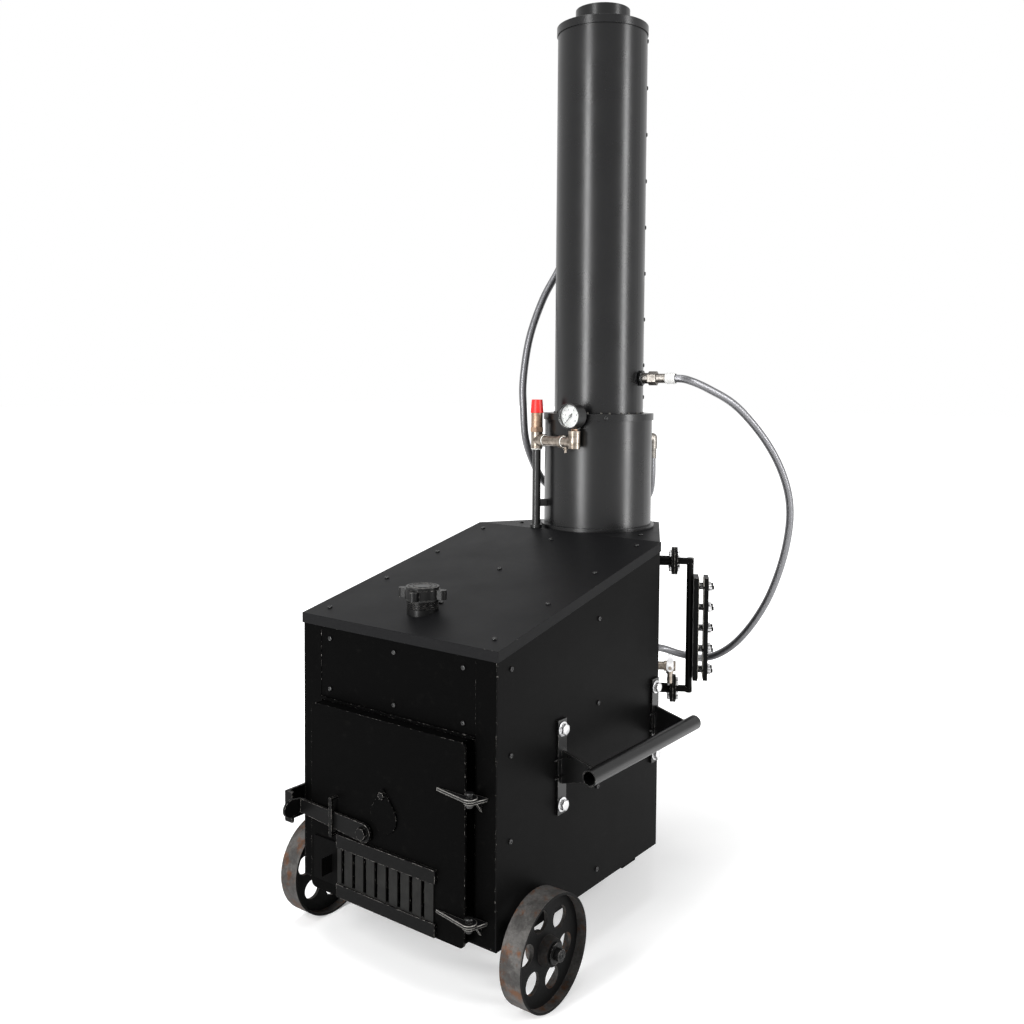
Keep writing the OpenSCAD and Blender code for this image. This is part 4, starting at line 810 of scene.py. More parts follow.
# %% [markdown]
# ## Hoses
#
# Both hoses are braided rubber, 20 mm across. The CAD has them as plain tubes. The
# routes repeat the CAD's, in millimetres in the cabinet's frame. A hose leaves a
# fitting straight, hangs in a curve and goes back into the machine. A simulated hang
# would need weights nobody knows, so points read from the picture lead a smooth curve.

# %% Routes
SUPPLY_ROUTE = [
    (182.5, 806.2, 1119), (207, 810.6, 1119), (236, 822, 1115), (268, 872, 1093),
    (312, 944, 1048), (361, 1013, 961), (391, 1063, 868), (399, 1095, 773),
    (382, 1109, 663), (347, 1109, 551), (303, 1102, 464), (251, 1092, 395),
    (194, 1087, 352), (142, 1085, 338), (92, 1070, 343), (56, 1040, 358),
    (41, 1000, 368), (40, 986, 370), (40, 970.4, 370)]
RETURN_ROUTE = [
    (-144.9, 812.8, 1461.6), (-144.9, 812.8, 1454), (-144.9, 812.4, 1445),
    (-151, 800, 1408), (-172, 760, 1330), (-188, 722, 1225), (-194, 703, 1112),
    (-193, 704, 1032), (-196, 720, 951), (-190, 752, 882), (-183, 792, 832),
    (-160, 845, 798), (-122, 895, 780), (-72, 932, 770), (-18, 950, 768),
    (32, 948, 780), (67, 930, 810), (82.5, 914, 854), (84.8, 909.7, 904),
    (84.8, 909.7, 931.6)]
HOSE_R = 10 * MM
HOSE_STEPS = 8
HOSE_SIDES = 20


def smooth_path(route):
    """Catmull-Rom points through a route, the curve that the CAD's hoses follow."""
    points = [at(*p) for p in route]
    path = []
    last = len(points) - 1
    for i in range(last):
        a, b, c, d = (points[max(0, min(last, i + k))] for k in (-1, 0, 1, 2))
        for step in range(HOSE_STEPS):
            t = step / HOSE_STEPS
            path.append(0.5 * (2 * b + t * (c - a) + t * t * (2 * a - 5 * b + 4 * c - d)
                               + t ** 3 * (3 * b - a - 3 * c + d)))
    path.append(points[-1])
    return path


# %% Hoses


def make_hose(name, route, node):
    """A hose that replaces its CAD node."""
    path = smooth_path(route)
    piece = tube(name, path, HOSE_R, BRAID, HOSE_SIDES)
    length = sum((b - a).length for a, b in zip(path, path[1:]))
    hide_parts(node)
    settle(piece, "cabinet")
    tuple(path[0])
    [tuple(p) for p in path]
    print(name, "length:", round(length, 3), "m")
    return path


supply_path = make_hose("supply_hose_braided", SUPPLY_ROUTE, "supply_hose")
back_path = make_hose("return_hose_braided", RETURN_ROUTE, "return_hose")

# %% [markdown]
# A hose ends in a ferrule: a steel sleeve that a press has crimped in four rings. Its
# outline is a straight line with a slow wave on it, turned about the hose's end.

# %% Ferrules
FERRULE_LONG = 26
FERRULE_WALL = 1.6
FERRULE_LIP = 0.2
FERRULE_WAVE = 0.6
FERRULE_RINGS = 4
FERRULE_AHEAD = 3


def crimp(name, path, forward):
    """A crimped ferrule round a hose's end, with pressed rings."""
    line = path if forward else path[::-1]
    hose = HOSE_R / MM
    profile = []
    for step in range(FERRULE_LONG + 1):
        wave = FERRULE_WAVE * math.cos(step / FERRULE_LONG * math.tau * FERRULE_RINGS)
        profile.append((hose + FERRULE_WALL + wave, step))
    profile = [(hose + FERRULE_LIP, 0)] + profile + [(hose + FERRULE_LIP, FERRULE_LONG)]
    way = (line[FERRULE_AHEAD] - line[0]).normalized()
    return turned_ring(name, line[0], way, profile, UNION, sides=32)


crimp("return_hose_top_ferrule", back_path, True)
crimp("return_hose_low_ferrule", back_path, False)
crimp("supply_hose_low_ferrule", supply_path, False)
print("ferrules:", FERRULE_LONG, "mm long")

# %% [markdown]
# ## Screws and bolts
#
# The sheets are held by black pan head screws and the handles by zinc hexagon bolts on
# washers. The CAD has a plain disc at each place. Copying a head by hand to every disc
# would be slow to change, so the discs are found as loose islands of the CAD mesh, and
# one Geometry Nodes tree stamps a head on each: the head is modelled once.

# %% Where the CAD has its discs


def islands(node):
    """The loose parts of a CAD node, each as a list of points."""
    work = bmesh.new()
    work.from_mesh(nodes[node].data)
    bmesh.ops.remove_doubles(work, verts=work.verts, dist=1e-6)
    seen, parts = set(), []
    for start in work.verts:
        if start in seen:
            continue
        seen.add(start)
        queue, part = [start], []
        while queue:
            vert = queue.pop()
            part.append(vert.co.copy())
            for edge in vert.link_edges:
                other = edge.other_vert(vert)
                if other not in seen:
                    seen.add(other)
                    queue.append(other)
        parts.append(part)
    work.free()
    return parts


def flat_axis(points):
    """The middle of a flat disc of points and the direction across it."""
    centre = sum(points, Vector()) / len(points)
    spread = np.array([tuple(p - centre) for p in points])
    values, axes = np.linalg.eigh(spread.T @ spread)
    return centre, Vector(axes[:, 0])


# %% [markdown]
# The tree reads a direction from each point, turns the unit toward it, and spins it at
# random about that direction, because no fitter stops every slot at the same angle. The
# seed is fixed, so the picture is the same each time. Realize Instances and Set
# Material come last, because an export drops instances.

# %% The stamping tree
SPIN_SEED = 7


def stamp_tree():
    """Copies of a unit on points, each aimed, spun and scaled, as one real mesh."""
    tree = bpy.data.node_groups.new("stamp_on_points", "GeometryNodeTree")
    face = tree.interface
    face.new_socket("Geometry", in_out="INPUT", socket_type="NodeSocketGeometry")
    face.new_socket("Unit", in_out="INPUT", socket_type="NodeSocketObject")
    face.new_socket("Size", in_out="INPUT", socket_type="NodeSocketFloat")
    face.new_socket("Finish", in_out="INPUT", socket_type="NodeSocketMaterial")
    face.new_socket("Geometry", in_out="OUTPUT", socket_type="NodeSocketGeometry")
    given = tree.nodes.new("NodeGroupInput").outputs
    unit = add(tree, "GeometryNodeObjectInfo", {"Object": given["Unit"]}, out="Geometry")
    aim = add(tree, "GeometryNodeInputNamedAttribute", {"Name": "aim"}, out="Attribute",
              data_type="FLOAT_VECTOR")
    align = add(tree, "FunctionNodeAlignRotationToVector", {"Vector": aim}, axis="Z")
    spin = add(tree, "FunctionNodeRandomValue", {"Max": math.tau, "Seed": SPIN_SEED},
               data_type="FLOAT")
    turn = add(tree, "FunctionNodeAxisAngleToRotation", {"Axis": (0, 0, 1), "Angle": spin})
    facing = add(tree, "FunctionNodeRotateRotation", {"Rotation": align, "Rotate By": turn},
                 rotation_space="LOCAL")
    put = add(tree, "GeometryNodeInstanceOnPoints",
              {"Points": given["Geometry"], "Instance": unit, "Rotation": facing,
               "Scale": given["Size"]})
    solid = add(tree, "GeometryNodeRealizeInstances", {"Geometry": put})
    finish = add(tree, "GeometryNodeSetMaterial", {"Geometry": solid,
                                                   "Material": given["Finish"]})
    add(tree, "NodeGroupOutput", {0: finish})
    return tree


STAMP = stamp_tree()
print("stamp tree nodes:", len(STAMP.nodes))

# %% Stamping


def stamp(name, unit, places, body, material, size=1.0):
    """Copies of a unit mesh at (point, aim) places, as one piece."""
    mesh = bpy.data.meshes.new(name)
    mesh.from_pydata([tuple(point) for point, _ in places], [], [])
    mesh.attributes.new("aim", "FLOAT_VECTOR", "POINT").data.foreach_set(
        "vector", [c for _, aim in places for c in Vector(aim).normalized()])
    piece = bpy.data.objects.new(name, mesh)
    bpy.context.scene.collection.objects.link(piece)
    source = bpy.data.objects.new(name + "_unit", unit)
    bpy.context.scene.collection.objects.link(source)
    modifier = piece.modifiers.new("stamp", "NODES")
    modifier.node_group = STAMP
    values = {"Unit": source, "Size": size, "Finish": material}
    for item in STAMP.interface.items_tree:
        if item.in_out == "INPUT" and item.name in values:
            modifier[item.identifier] = values[item.name]
    bake(piece)
    bpy.data.objects.remove(source)
    piece.data.shade_smooth()
    return settle(piece, body)


# %% [markdown]
# A pan head is a low dome with a cross recess. The dome is turned, and two thin boxes
# are cut from it. A bump map could fake the cross, but these heads are seen from near.

# %% Pan heads
DOME_SIDES = 24
DOME_STEPS = 6
DOME_FOOT = 0.35
DOME_FLATNESS = 0.6
RECESS_LONG, RECESS_WIDE, RECESS_DEEP = 1.1, 0.26, 1.2


def pan_head(radius, height):
    """A pan screw head with a cross recess, its seat at Z 0."""
    dome = [(0, 0), (radius, 0), (radius, height * DOME_FOOT)]
    for step in range(1, DOME_STEPS):
        angle = math.radians(90 * step / DOME_STEPS)
        dome.append((radius * math.cos(angle) ** DOME_FLATNESS,
                     height * (DOME_FOOT + (1 - DOME_FOOT) * math.sin(angle))))
    dome.append((0, height))
    mesh = revolve_mesh("pan_head", dome, DOME_SIDES)
    head = make_object("pan_head_work", mesh)
    for turn in (0, 90):
        slot_mesh = bpy.data.meshes.new("recess")
        work = bmesh.new()
        size = Matrix.Diagonal((radius * RECESS_LONG, radius * RECESS_WIDE,
                                height * RECESS_DEEP, 1))
        place = Matrix.Rotation(math.radians(turn), 4, "Z") @ Matrix.Translation((0, 0, height))
        bmesh.ops.create_cube(work, size=1.0, matrix=place @ size)
        work.to_mesh(slot_mesh)
        work.free()
        cutter = make_object("recess", slot_mesh, smooth=False)
        modifier = head.modifiers.new("cut", "BOOLEAN")
        modifier.operation = "DIFFERENCE"
        modifier.object = cutter
        bake(head)
        bpy.data.objects.remove(cutter)
    result = head.data
    bpy.data.objects.remove(head)
    return result


# %% Casing screws
SCREW_HEAD_R, SCREW_HEAD_HIGH = 5.4 * MM, 3.6 * MM
SCREW_SUNK = 1.2 * MM
CASING_MIDDLE = at(0, 312, 300)
CHIMNEY_ZONE = 0.13
CHIMNEY_FOOT = at(0, 0, 735).z

screw_places = []
for part in islands("casing_screws"):
    centre, axis = flat_axis(part)
    inner = CASING_MIDDLE
    if centre.y > CHIMNEY_Y - CHIMNEY_ZONE and centre.z > CHIMNEY_FOOT:
        inner = Vector((0, CHIMNEY_Y, centre.z))
    if axis.dot(centre - inner) < 0:
        axis = -axis
    screw_places.append((centre - axis * SCREW_SUNK, axis))
heads = stamp("casing_screw_heads", pan_head(SCREW_HEAD_R, SCREW_HEAD_HIGH), screw_places,
              "cabinet", SCREW_BLACK)
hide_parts("casing_screws")
print("screw heads:", len(screw_places))

# %% [markdown]
# The handles carry the machine's weight, so they have stout bolts with hexagon heads. A
# head is a six-sided bar whose top is turned down to a small cone, on a flat washer. A
# plain six-sided cylinder would do from afar, but near by its edges need a narrow bevel,
# because a sharp edge catches no light.

# %% Hexagon heads
ROUND_SIDES, HEX_SIDES = 32, 6
WASHER_SHARE = 0.28
BAR_SHARE = 0.9
CONE_SHARE = 0.1
CONE_FOOT, CONE_TOP = 0.88, 0.78
EDGE_SHARE = 0.05


def soft_edges(piece, width=0.0008, segments=2, angle=35):
    """Bevels the piece's sharp edges and bakes the result into its mesh."""
    modifier = piece.modifiers.new("soft_edges", "BEVEL")
    modifier.width = width
    modifier.segments = segments
    modifier.limit_method = "ANGLE"
    modifier.angle_limit = math.radians(angle)
    return bake(piece)


def hex_head(radius, height, washer=0.0):
    """A hexagon head with a turned top chamfer, on a washer where one is given."""
    work = bmesh.new()
    if washer:
        bmesh.ops.create_cone(work, cap_ends=True, segments=ROUND_SIDES,
                              radius1=washer, radius2=washer,
                              depth=height * WASHER_SHARE,
                              matrix=Matrix.Translation((0, 0, height * WASHER_SHARE / 2)))
    base = height * WASHER_SHARE if washer else 0.0
    bmesh.ops.create_cone(work, cap_ends=True, segments=HEX_SIDES, radius1=radius, radius2=radius,
                          depth=height * BAR_SHARE,
                          matrix=Matrix.Translation((0, 0, base + height * BAR_SHARE / 2)))
    bmesh.ops.create_cone(work, cap_ends=True, segments=ROUND_SIDES, radius1=radius * CONE_FOOT,
                          radius2=radius * CONE_TOP, depth=height * CONE_SHARE,
                          matrix=Matrix.Translation((0, 0, base + height * (1 - CONE_SHARE / 2))))
    mesh = bpy.data.meshes.new("hex_head")
    work.to_mesh(mesh)
    work.free()
    piece = make_object("hex_work", mesh, smooth=False)
    soft_edges(piece, radius * EDGE_SHARE)
    result = piece.data
    bpy.data.objects.remove(piece)
    return result


# %% Handle bolts
BOLT_SEAT_X = 0.279
BOLT_R, BOLT_HIGH, BOLT_WASHER_R = 12.2 * MM, 8.6 * MM, 15.5 * MM

bolt_places = []
for part in islands("handle_bolts"):
    centre = (Vector([min(p[i] for p in part) for i in range(3)])
              + Vector([max(p[i] for p in part) for i in range(3)])) / 2
    side = 1 if centre.x > 0 else -1
    bolt_places.append((Vector((side * BOLT_SEAT_X, centre.y, centre.z)), (side, 0, 0)))
bolts = stamp("handle_bolt_heads", hex_head(BOLT_R, BOLT_HIGH, BOLT_WASHER_R), bolt_places,
              "cabinet", ZINC)
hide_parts("handle_bolts")
print("handle bolts:", len(bolt_places))

# %% [markdown]
# ## Level gauge
#
# The glass is held between two black bars by studs with bright nuts, and small bright
# nuts hold the flanges. It stands on the rear's slanting panel, so its places are given
# in that panel's own directions: out from it, along it, and up. One stamp for each kind
# of nut is lighter than ten single objects.

# %% The slanting panel's directions
CHAMFER_EDGE = (273, 624)
CHAMFER_BACK, CHAMFER_IN = 313, 179
CHAMFER = math.atan2(CHAMFER_BACK, CHAMFER_IN)
OUT = Vector((math.sin(CHAMFER), math.cos(CHAMFER), 0))
ALONG = Vector((-math.cos(CHAMFER), math.sin(CHAMFER), 0))
UP = Vector((0, 0, 1))
GAUGE_S = 120


def on_chamfer(x, s, z):
    """x out from the slanting rear panel, s along it from its front edge, z up."""
    return at(*CHAMFER_EDGE, z) + (OUT * x + ALONG * s) * MM


print("chamfer direction:", [round(c, 3) for c in OUT])

# %% Studs, nuts and sleeves
STUD_LOW_Z, STUD_TOP_Z = 399, 606
STUD_ROWS = 5
STUD_SIDE = 18
SLEEVE_X, NUT_X, TIP_X = 97.6, 120.6, 128.6
STUD_SLEEVE = [(0, 0), (5, 0), (5, 11.4), (0, 11.4)]
STUD_TIP = [(0, 0), (4.6, 0), (4.6, 4.4), (3.7, 5.4), (0, 5.4)]


def stud_places(x):
    """The places of the ten studs, x millimetres out from the panel."""
    rise = STUD_TOP_Z - STUD_LOW_Z
    return [(on_chamfer(x, GAUGE_S + side, STUD_LOW_Z + rise * step / (STUD_ROWS - 1)), OUT)
            for step in range(STUD_ROWS) for side in (-STUD_SIDE, STUD_SIDE)]


tip = revolve_mesh("stud_end", [(r * MM, h * MM) for r, h in STUD_TIP], 16)
sleeve = revolve_mesh("stud_sleeve", [(r * MM, h * MM) for r, h in STUD_SLEEVE], 20)
for name, unit, x in (("level_gauge_nuts", hex_head(8.6 * MM, 8.4 * MM), NUT_X),
                      ("level_gauge_stud_ends", tip, TIP_X),
                      ("level_gauge_stud_sleeves", sleeve, SLEEVE_X)):
    stamp(name, unit, stud_places(x), "cabinet", ZINC)
print("studs:", len(stud_places(NUT_X)))

# %% Flange nuts
FLANGE_Z = {"low": 347, "top": 667}
FLANGE_BOLTS = 4
FLANGE_BOLT_R = 25
FLANGE_FACE_X, FLANGE_BACK_X = 44.4, 30.2

flange_places = []
for z in FLANGE_Z.values():
    for k in range(FLANGE_BOLTS):
        turn = math.tau * (k + 0.5) / FLANGE_BOLTS
        s, up = FLANGE_BOLT_R * math.cos(turn), FLANGE_BOLT_R * math.sin(turn)
        flange_places.append((on_chamfer(FLANGE_FACE_X, GAUGE_S + s, z + up), OUT))
        flange_places.append((on_chamfer(FLANGE_BACK_X, GAUGE_S + s, z + up), -OUT))
stamp("level_flange_nuts", hex_head(6.2 * MM, 6.8 * MM), flange_places, "cabinet",
      ZINC)
print("flange nuts:", len(flange_places))

# %% [markdown]
# Pale fibre gaskets seal the joints: a flat strip between the bars and a ring in each
# flange. Only their edges show, as thin light lines, so plain slabs with a hair of
# bevel are enough.

# %% Fibre gaskets
GASKET_LONG, GASKET_WIDE, GASKET_THICK = 246 * MM, 44 * MM, 1.8 * MM
GASKET_Z = 502.5
GASKET_X = {"inner": 97.4, "outer": 109.6}
GASKET_EDGE = 0.2 * MM
FLANGE_GASKET_X = 36.6
FLANGE_RING = [(9, 0), (33, 0), (33, 1.4), (9, 1.4)]


def slab(name, centre, axes, size):
    """A gasket strip with a hair of bevel: its centre, three axes and sizes along them."""
    work = bmesh.new()
    bmesh.ops.create_cube(work, size=1.0)
    mesh = bpy.data.meshes.new(name)
    turn = Matrix([Vector(a).normalized() for a in axes]).transposed().to_4x4()
    bmesh.ops.transform(work, verts=work.verts, matrix=Matrix.Translation(centre) @ turn
                        @ Matrix.Diagonal((*size, 1)))
    work.to_mesh(mesh)
    work.free()
    piece = soft_edges(make_object(name, mesh, FIBRE, smooth=False), GASKET_EDGE)
    return settle(piece, "cabinet")


for label, x in GASKET_X.items():
    slab(f"level_gasket_{label}", on_chamfer(x, GAUGE_S, GASKET_Z), (OUT, ALONG, UP),
         (GASKET_THICK, GASKET_WIDE, GASKET_LONG))
for label, z in FLANGE_Z.items():
    turned_ring(f"level_flange_gasket_{label}", on_chamfer(FLANGE_GASKET_X, GAUGE_S, z), OUT,
                FLANGE_RING, FIBRE, sides=48)
print("gaskets:", len(GASKET_X), "strips and", len(FLANGE_Z), "rings")

# %% [markdown]
# ## Pressure gauge
#
# A white dial has a ring of ticks and plain numbers from 0 to 10. An image would blur
# close up, so ticks and numbers are thin solids on the dial. The ticks are boxes that
# point at the middle, and the numbers are text that is turned into mesh.

# %% Ticks
DIAL_FACE = at(37, 591.02, 1024)
DIAL_START = 225
TICK_SWEEP = 270
TICK_THICK = 0.15 * MM
TICK_END = 26.5 * MM


def dial_point(degrees, radius):
    """A point on the dial: 0 degrees is down left, and the scale runs clockwise."""
    angle = math.radians(DIAL_START - degrees)
    return DIAL_FACE + Vector((math.cos(angle), 0, math.sin(angle))) * radius


def dial_ticks(name, count, inner, outer, width):
    """Thin boxes on the dial, each from an inner to an outer radius."""
    mesh = bpy.data.meshes.new(name)
    work = bmesh.new()
    for step in range(count + 1):
        degrees = TICK_SWEEP * step / count
        low, high = dial_point(degrees, inner), dial_point(degrees, outer)
        side = (high - low).cross(Vector((0, 1, 0))).normalized() * width / 2
        front = Vector((0, -TICK_THICK, 0))
        corners = [work.verts.new(p) for p in (low - side + front, low + side + front,
                                               high + side + front, high - side + front,
                                               low - side, low + side, high + side, high - side)]
        for a, b, c, d in ((0, 1, 2, 3), (4, 7, 6, 5), (0, 4, 5, 1), (1, 5, 6, 2),
                           (2, 6, 7, 3), (3, 7, 4, 0)):
            work.faces.new([corners[i] for i in (a, b, c, d)])
    bmesh.ops.recalc_face_normals(work, faces=work.faces)
    work.to_mesh(mesh)
    work.free()
    return settle(make_object(name, mesh, INK, smooth=False), "cabinet")


dial_ticks("dial_long_ticks", 10, 21.5 * MM, TICK_END, 0.9 * MM)
dial_ticks("dial_short_ticks", 50, 24.3 * MM, TICK_END, 0.4 * MM)
print("ticks over", TICK_SWEEP, "degrees")

# %% Numbers
NUMBER_HIGH = 6.2 * MM
NUMBER_THICK = 0.08 * MM
NUMBER_RING = 17 * MM
NUMBER_LIFT = 0.02 * MM
SCALE_END = 10


def dial_numbers():
    """Every second number of the scale, as thin text turned into one mesh."""
    parts = []
    for step in range(0, SCALE_END + 1, 2):
        curve = bpy.data.curves.new("number", "FONT")
        curve.body = str(step)
        curve.size = NUMBER_HIGH
        curve.extrude = NUMBER_THICK
        curve.align_x = "CENTER"
        curve.align_y = "CENTER"
        text = bpy.data.objects.new("number", curve)
        bpy.context.scene.collection.objects.link(text)
        view = bpy.context.evaluated_depsgraph_get()
        mesh = bpy.data.meshes.new_from_object(text.evaluated_get(view))
        bpy.data.objects.remove(text)
        spot = (dial_point(TICK_SWEEP * step / SCALE_END, NUMBER_RING)
                + Vector((0, -NUMBER_LIFT, 0)))
        mesh.transform(Matrix.Translation(spot) @ Matrix.Rotation(math.radians(90), 4, "X"))
        parts.append(mesh)
    work = bmesh.new()
    for mesh in parts:
        work.from_mesh(mesh)
    result = bpy.data.meshes.new("dial_numbers")
    work.to_mesh(result)
    work.free()
    return settle(make_object("dial_numbers", result, INK, smooth=False), "cabinet")


dial_numbers()
print("numbers 0 to", SCALE_END)

# %% [markdown]
# The case has a rolled rim over the glass, and a hexagon nut holds its stem. The rim is
# a turned ring whose middle stays open, because a closed one would cover the dial.

# %% Rim and stem nut
RIM_AT, STEM_NUT_AT = at(37, 580, 1024), at(37, 606, 981)
RIM = [(28.6, 0.6), (31.9, 0.6), (31.9, -0.4), (31.2, -1.6), (29.6, -1.6), (28.6, -0.6)]
STEM_NUT = [(5.4, 0), (9.4, 0), (9.4, 2), (8.2, 3), (8.2, 7), (9, 8), (9, 10.5), (5.4, 10.5)]

bezel = revolve_mesh("gauge_bezel", [(r * MM, h * MM) for r, h in RIM], 64, open_middle=True)
bezel.transform(Matrix.Translation(RIM_AT) @ aimed((0, 1, 0)))
settle(make_object("gauge_bezel", bezel, CASE), "cabinet")
nut = revolve_mesh("gauge_stem_nut", [(r * MM, h * MM) for r, h in STEM_NUT], 6)
nut.transform(Matrix.Translation(STEM_NUT_AT))
settle(make_object("gauge_stem_nut", nut, BRASS, smooth=False), "cabinet")
print("rim faces:", len(bezel.polygons), "nut faces:", len(nut.polygons))

# %% [markdown]
# ## Header: thread tape
#
# White tape is wound on the pipe threads before they are screwed together, and a ragged
# ring of it shows at each joint. A soft low hump, turned about the pipe, reads as the
# squeezed edge of the tape.

# %% Thread tape
RISER_XY = (-102, 640)
RISER_TOP = at(*RISER_XY, 958)
HEADER_END = at(37, 606, 958)
HEADER_WAY = (HEADER_END - RISER_TOP).normalized()
HEADER_LONG = (HEADER_END - RISER_TOP).length
HEADER_TAPE = [(12.6, -1.6), (13.7, -1.2), (14, 0), (13.6, 1.3), (12.6, 1.6)]
TEE_RUN, ELBOW_RUN = 31, HEADER_LONG / MM - 40
VALVE_TAPE_Z, RISER_TAPE_Z = 978.4, 935
RISER_TAPE = [(12.6, -1.4), (14.2, -1.0), (14.5, 0), (14.1, 1.1), (12.6, 1.4)]

for name, run in (("tape_at_tee", TEE_RUN), ("tape_at_elbow", ELBOW_RUN)):
    turned_ring(name, RISER_TOP + HEADER_WAY * run * MM, HEADER_WAY, HEADER_TAPE, TAPE)
for name, z in (("tape_under_valve", VALVE_TAPE_Z), ("tape_on_riser", RISER_TAPE_Z)):
    turned_ring(name, at(*RISER_XY, z), (0, 0, 1), RISER_TAPE, TAPE)
print("header length:", round(HEADER_LONG, 4), "m")

# %% [markdown]
# ## Filler
#
# Water goes in through a neck in the lid. It has a coarse thread just under the cap, and
# the cap's top has two turned rings. A true helix wouldn't be told from four rings at
# this size, and rings close without a run-out.

# %% Neck threads and cap rings
FILLER = at(-11, 100, 0)
THREADS = 4
THREAD_FIRST, THREAD_PITCH = 4, 4.2
THREAD_SHAPE = [(33.2, -1.5), (34.6, -0.5), (34.6, 0.5), (33.2, 1.5)]
CAP_RINGS = {"outer": 30, "inner": 20}
CAP_RING_SHAPE = [(-1.4, 0), (-0.8, 0.9), (0.8, 0.9), (1.4, 0)]
CAP_RING_SUNK = 0.2 * MM

neck_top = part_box("filler_neck")[1][2]
for step in range(THREADS):
    height = neck_top - (THREAD_FIRST + THREAD_PITCH * step) * MM
    turned_ring(f"neck_thread_{step}", Vector((FILLER.x, FILLER.y, height)), (0, 0, 1),
                THREAD_SHAPE, PAINT_WORN, sides=64)
cap_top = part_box("filler_cap")[1][2]
for label, radius in CAP_RINGS.items():
    turned_ring(f"cap_ring_{label}", Vector((FILLER.x, FILLER.y, cap_top - CAP_RING_SUNK)),
                (0, 0, 1), [(radius + run, high) for run, high in CAP_RING_SHAPE],
                PAINT_WORN, "cap", 64)
print("neck top:", round(neck_top, 4), "cap top:", round(cap_top, 4))

# %% [markdown]
# ## Chimney seam and tacks
#
# The shell is one rolled sheet whose ends lap over each other, and the seam runs up
# under its screws. The lap is a strip of sheet bent to the shell's radius, as a bump
# line would vanish in a side view. The shell's foot is held by a ring of short tacks:
# small lumps of weld that are stamped a little unevenly, as a hand sets them.

# %% Seam
SEAM_LOW, SEAM_HIGH = at(0, 0, 1029).z, at(0, 0, 2014).z
SEAM_FROM, SEAM_SPAN = 31.5, 7
SEAM_COLUMNS = 7
SEAM_LIFT, SEAM_SUNK = 0.8 * MM, 0.6 * MM
SEAM_TOE = 0.1 * MM


def on_shell(degrees, z, radius):
    """A point on a circle about the chimney, z metres up."""
    angle = math.radians(degrees)
    return Vector((math.cos(angle) * radius, CHIMNEY_Y + math.sin(angle) * radius, z))


def seam_lap():
    """A strip of sheet that follows the shell's curve, 14 mm wide and 0.8 mm thick."""
    mesh = bpy.data.meshes.new("shell_seam_lap")
    work = bmesh.new()
    columns = []
    for step in range(SEAM_COLUMNS):
        degrees = SEAM_FROM + SEAM_SPAN * step / (SEAM_COLUMNS - 1)
        lift = SEAM_LIFT if step else SEAM_TOE
        columns.append([work.verts.new(on_shell(degrees, z, r))
                        for r in (SHELL_R - SEAM_SUNK, SHELL_R + lift)
                        for z in (SEAM_LOW, SEAM_HIGH)])
    for a, b in zip(columns, columns[1:]):
        for i, j in ((2, 3), (1, 0), (0, 2), (3, 1)):
            work.faces.new((a[i], b[i], b[j], a[j]))
    for column in (columns[0], columns[-1]):
        work.faces.new((column[0], column[1], column[3], column[2]))
    bmesh.ops.recalc_face_normals(work, faces=work.faces)
    work.to_mesh(mesh)
    work.free()
    return settle(make_object("shell_seam_lap", mesh, PAINT_SHELL, smooth=False), "cabinet")


seam_lap()
print("seam length:", round(SEAM_HIGH - SEAM_LOW, 3), "m")

# %% Foot tacks
TACKS = 26
TACK_Z = at(0, 0, 1029.2).z
TACK_SHAPE = [(0, -1.6), (2.4, -0.8), (3.2, 0.4), (2.2, 1.7), (0, 2.3)]
TACK_STRAY = 2.5
TACK_STAND, TACK_TILT = 0.6 * MM, 0.8

lump = revolve_mesh("tack", [(r * MM, h * MM) for r, h in TACK_SHAPE], 10)
tack_places = []
draw = random.Random(5)
for step in range(TACKS):
    degrees = 360 * step / TACKS + draw.uniform(-TACK_STRAY, TACK_STRAY)
    spot = on_shell(degrees, TACK_Z, SHELL_R + TACK_STAND)
    outward = Vector((spot.x, spot.y - CHIMNEY_Y, 0)).normalized()
    tack_places.append((spot, outward + Vector((0, 0, TACK_TILT))))
stamp("shell_foot_tacks", lump, tack_places, "cabinet", TACK)
print("tacks:", len(tack_places))

# %% [markdown]
# ## Weld beads
#
# The frame's steel is arc welded. A bead is a row of overlapping ripples, laid drop by
# drop. A straight tube would look like putty, so every second ring of the tube is
# thinner, and each gets a small random change from a fixed seed.

# %% Weld bead
BEAD_SIDES = 8
BEAD_PITCH = 0.004
BEAD_THIN = 0.8
BEAD_END = 0.4
BEAD_STRAY = (0.88, 1.1)


def weld(name, points, radius, material, seed):
    """A rippled weld bead along a line of points, half sunk where it lies."""
    draw = random.Random(seed)
    path = []
    for a, b in zip(points, points[1:]):
        count = max(2, int((b - a).length / BEAD_PITCH * 2))
        path += [a.lerp(b, i / count) for i in range(count)]
    path.append(points[-1])
    radii = [radius * (1.0 if i % 2 else BEAD_THIN) * draw.uniform(*BEAD_STRAY)
             for i in range(len(path))]
    radii[0] = radii[-1] = radius * BEAD_END
    return settle(tube(name, path, radius, material, BEAD_SIDES, radii), "cabinet")


# %% Welds at the jacket's foot and the handles
JACKET_FOOT = at(0, 774, 731.5)
FOOT_STEPS = 90
FOOT_INSET = 2.5 * MM
FOOT_BEAD, HANDLE_BEAD = 2.0 * MM, 1.8 * MM
HANDLE_X, HANDLE_WELD_HALF = 280, 14
HANDLE_Y = {"front": 198, "rear": 587}
HANDLE_Z = {"low": 290, "top": 328}


def ring_points(centre, radius, count):
    """Points on a level circle, with the last one on the first."""
    return [Vector(centre) + Vector((radius * math.cos(math.radians(360 * k / count)),
                                     radius * math.sin(math.radians(360 * k / count)), 0))
            for k in range(count + 1)]


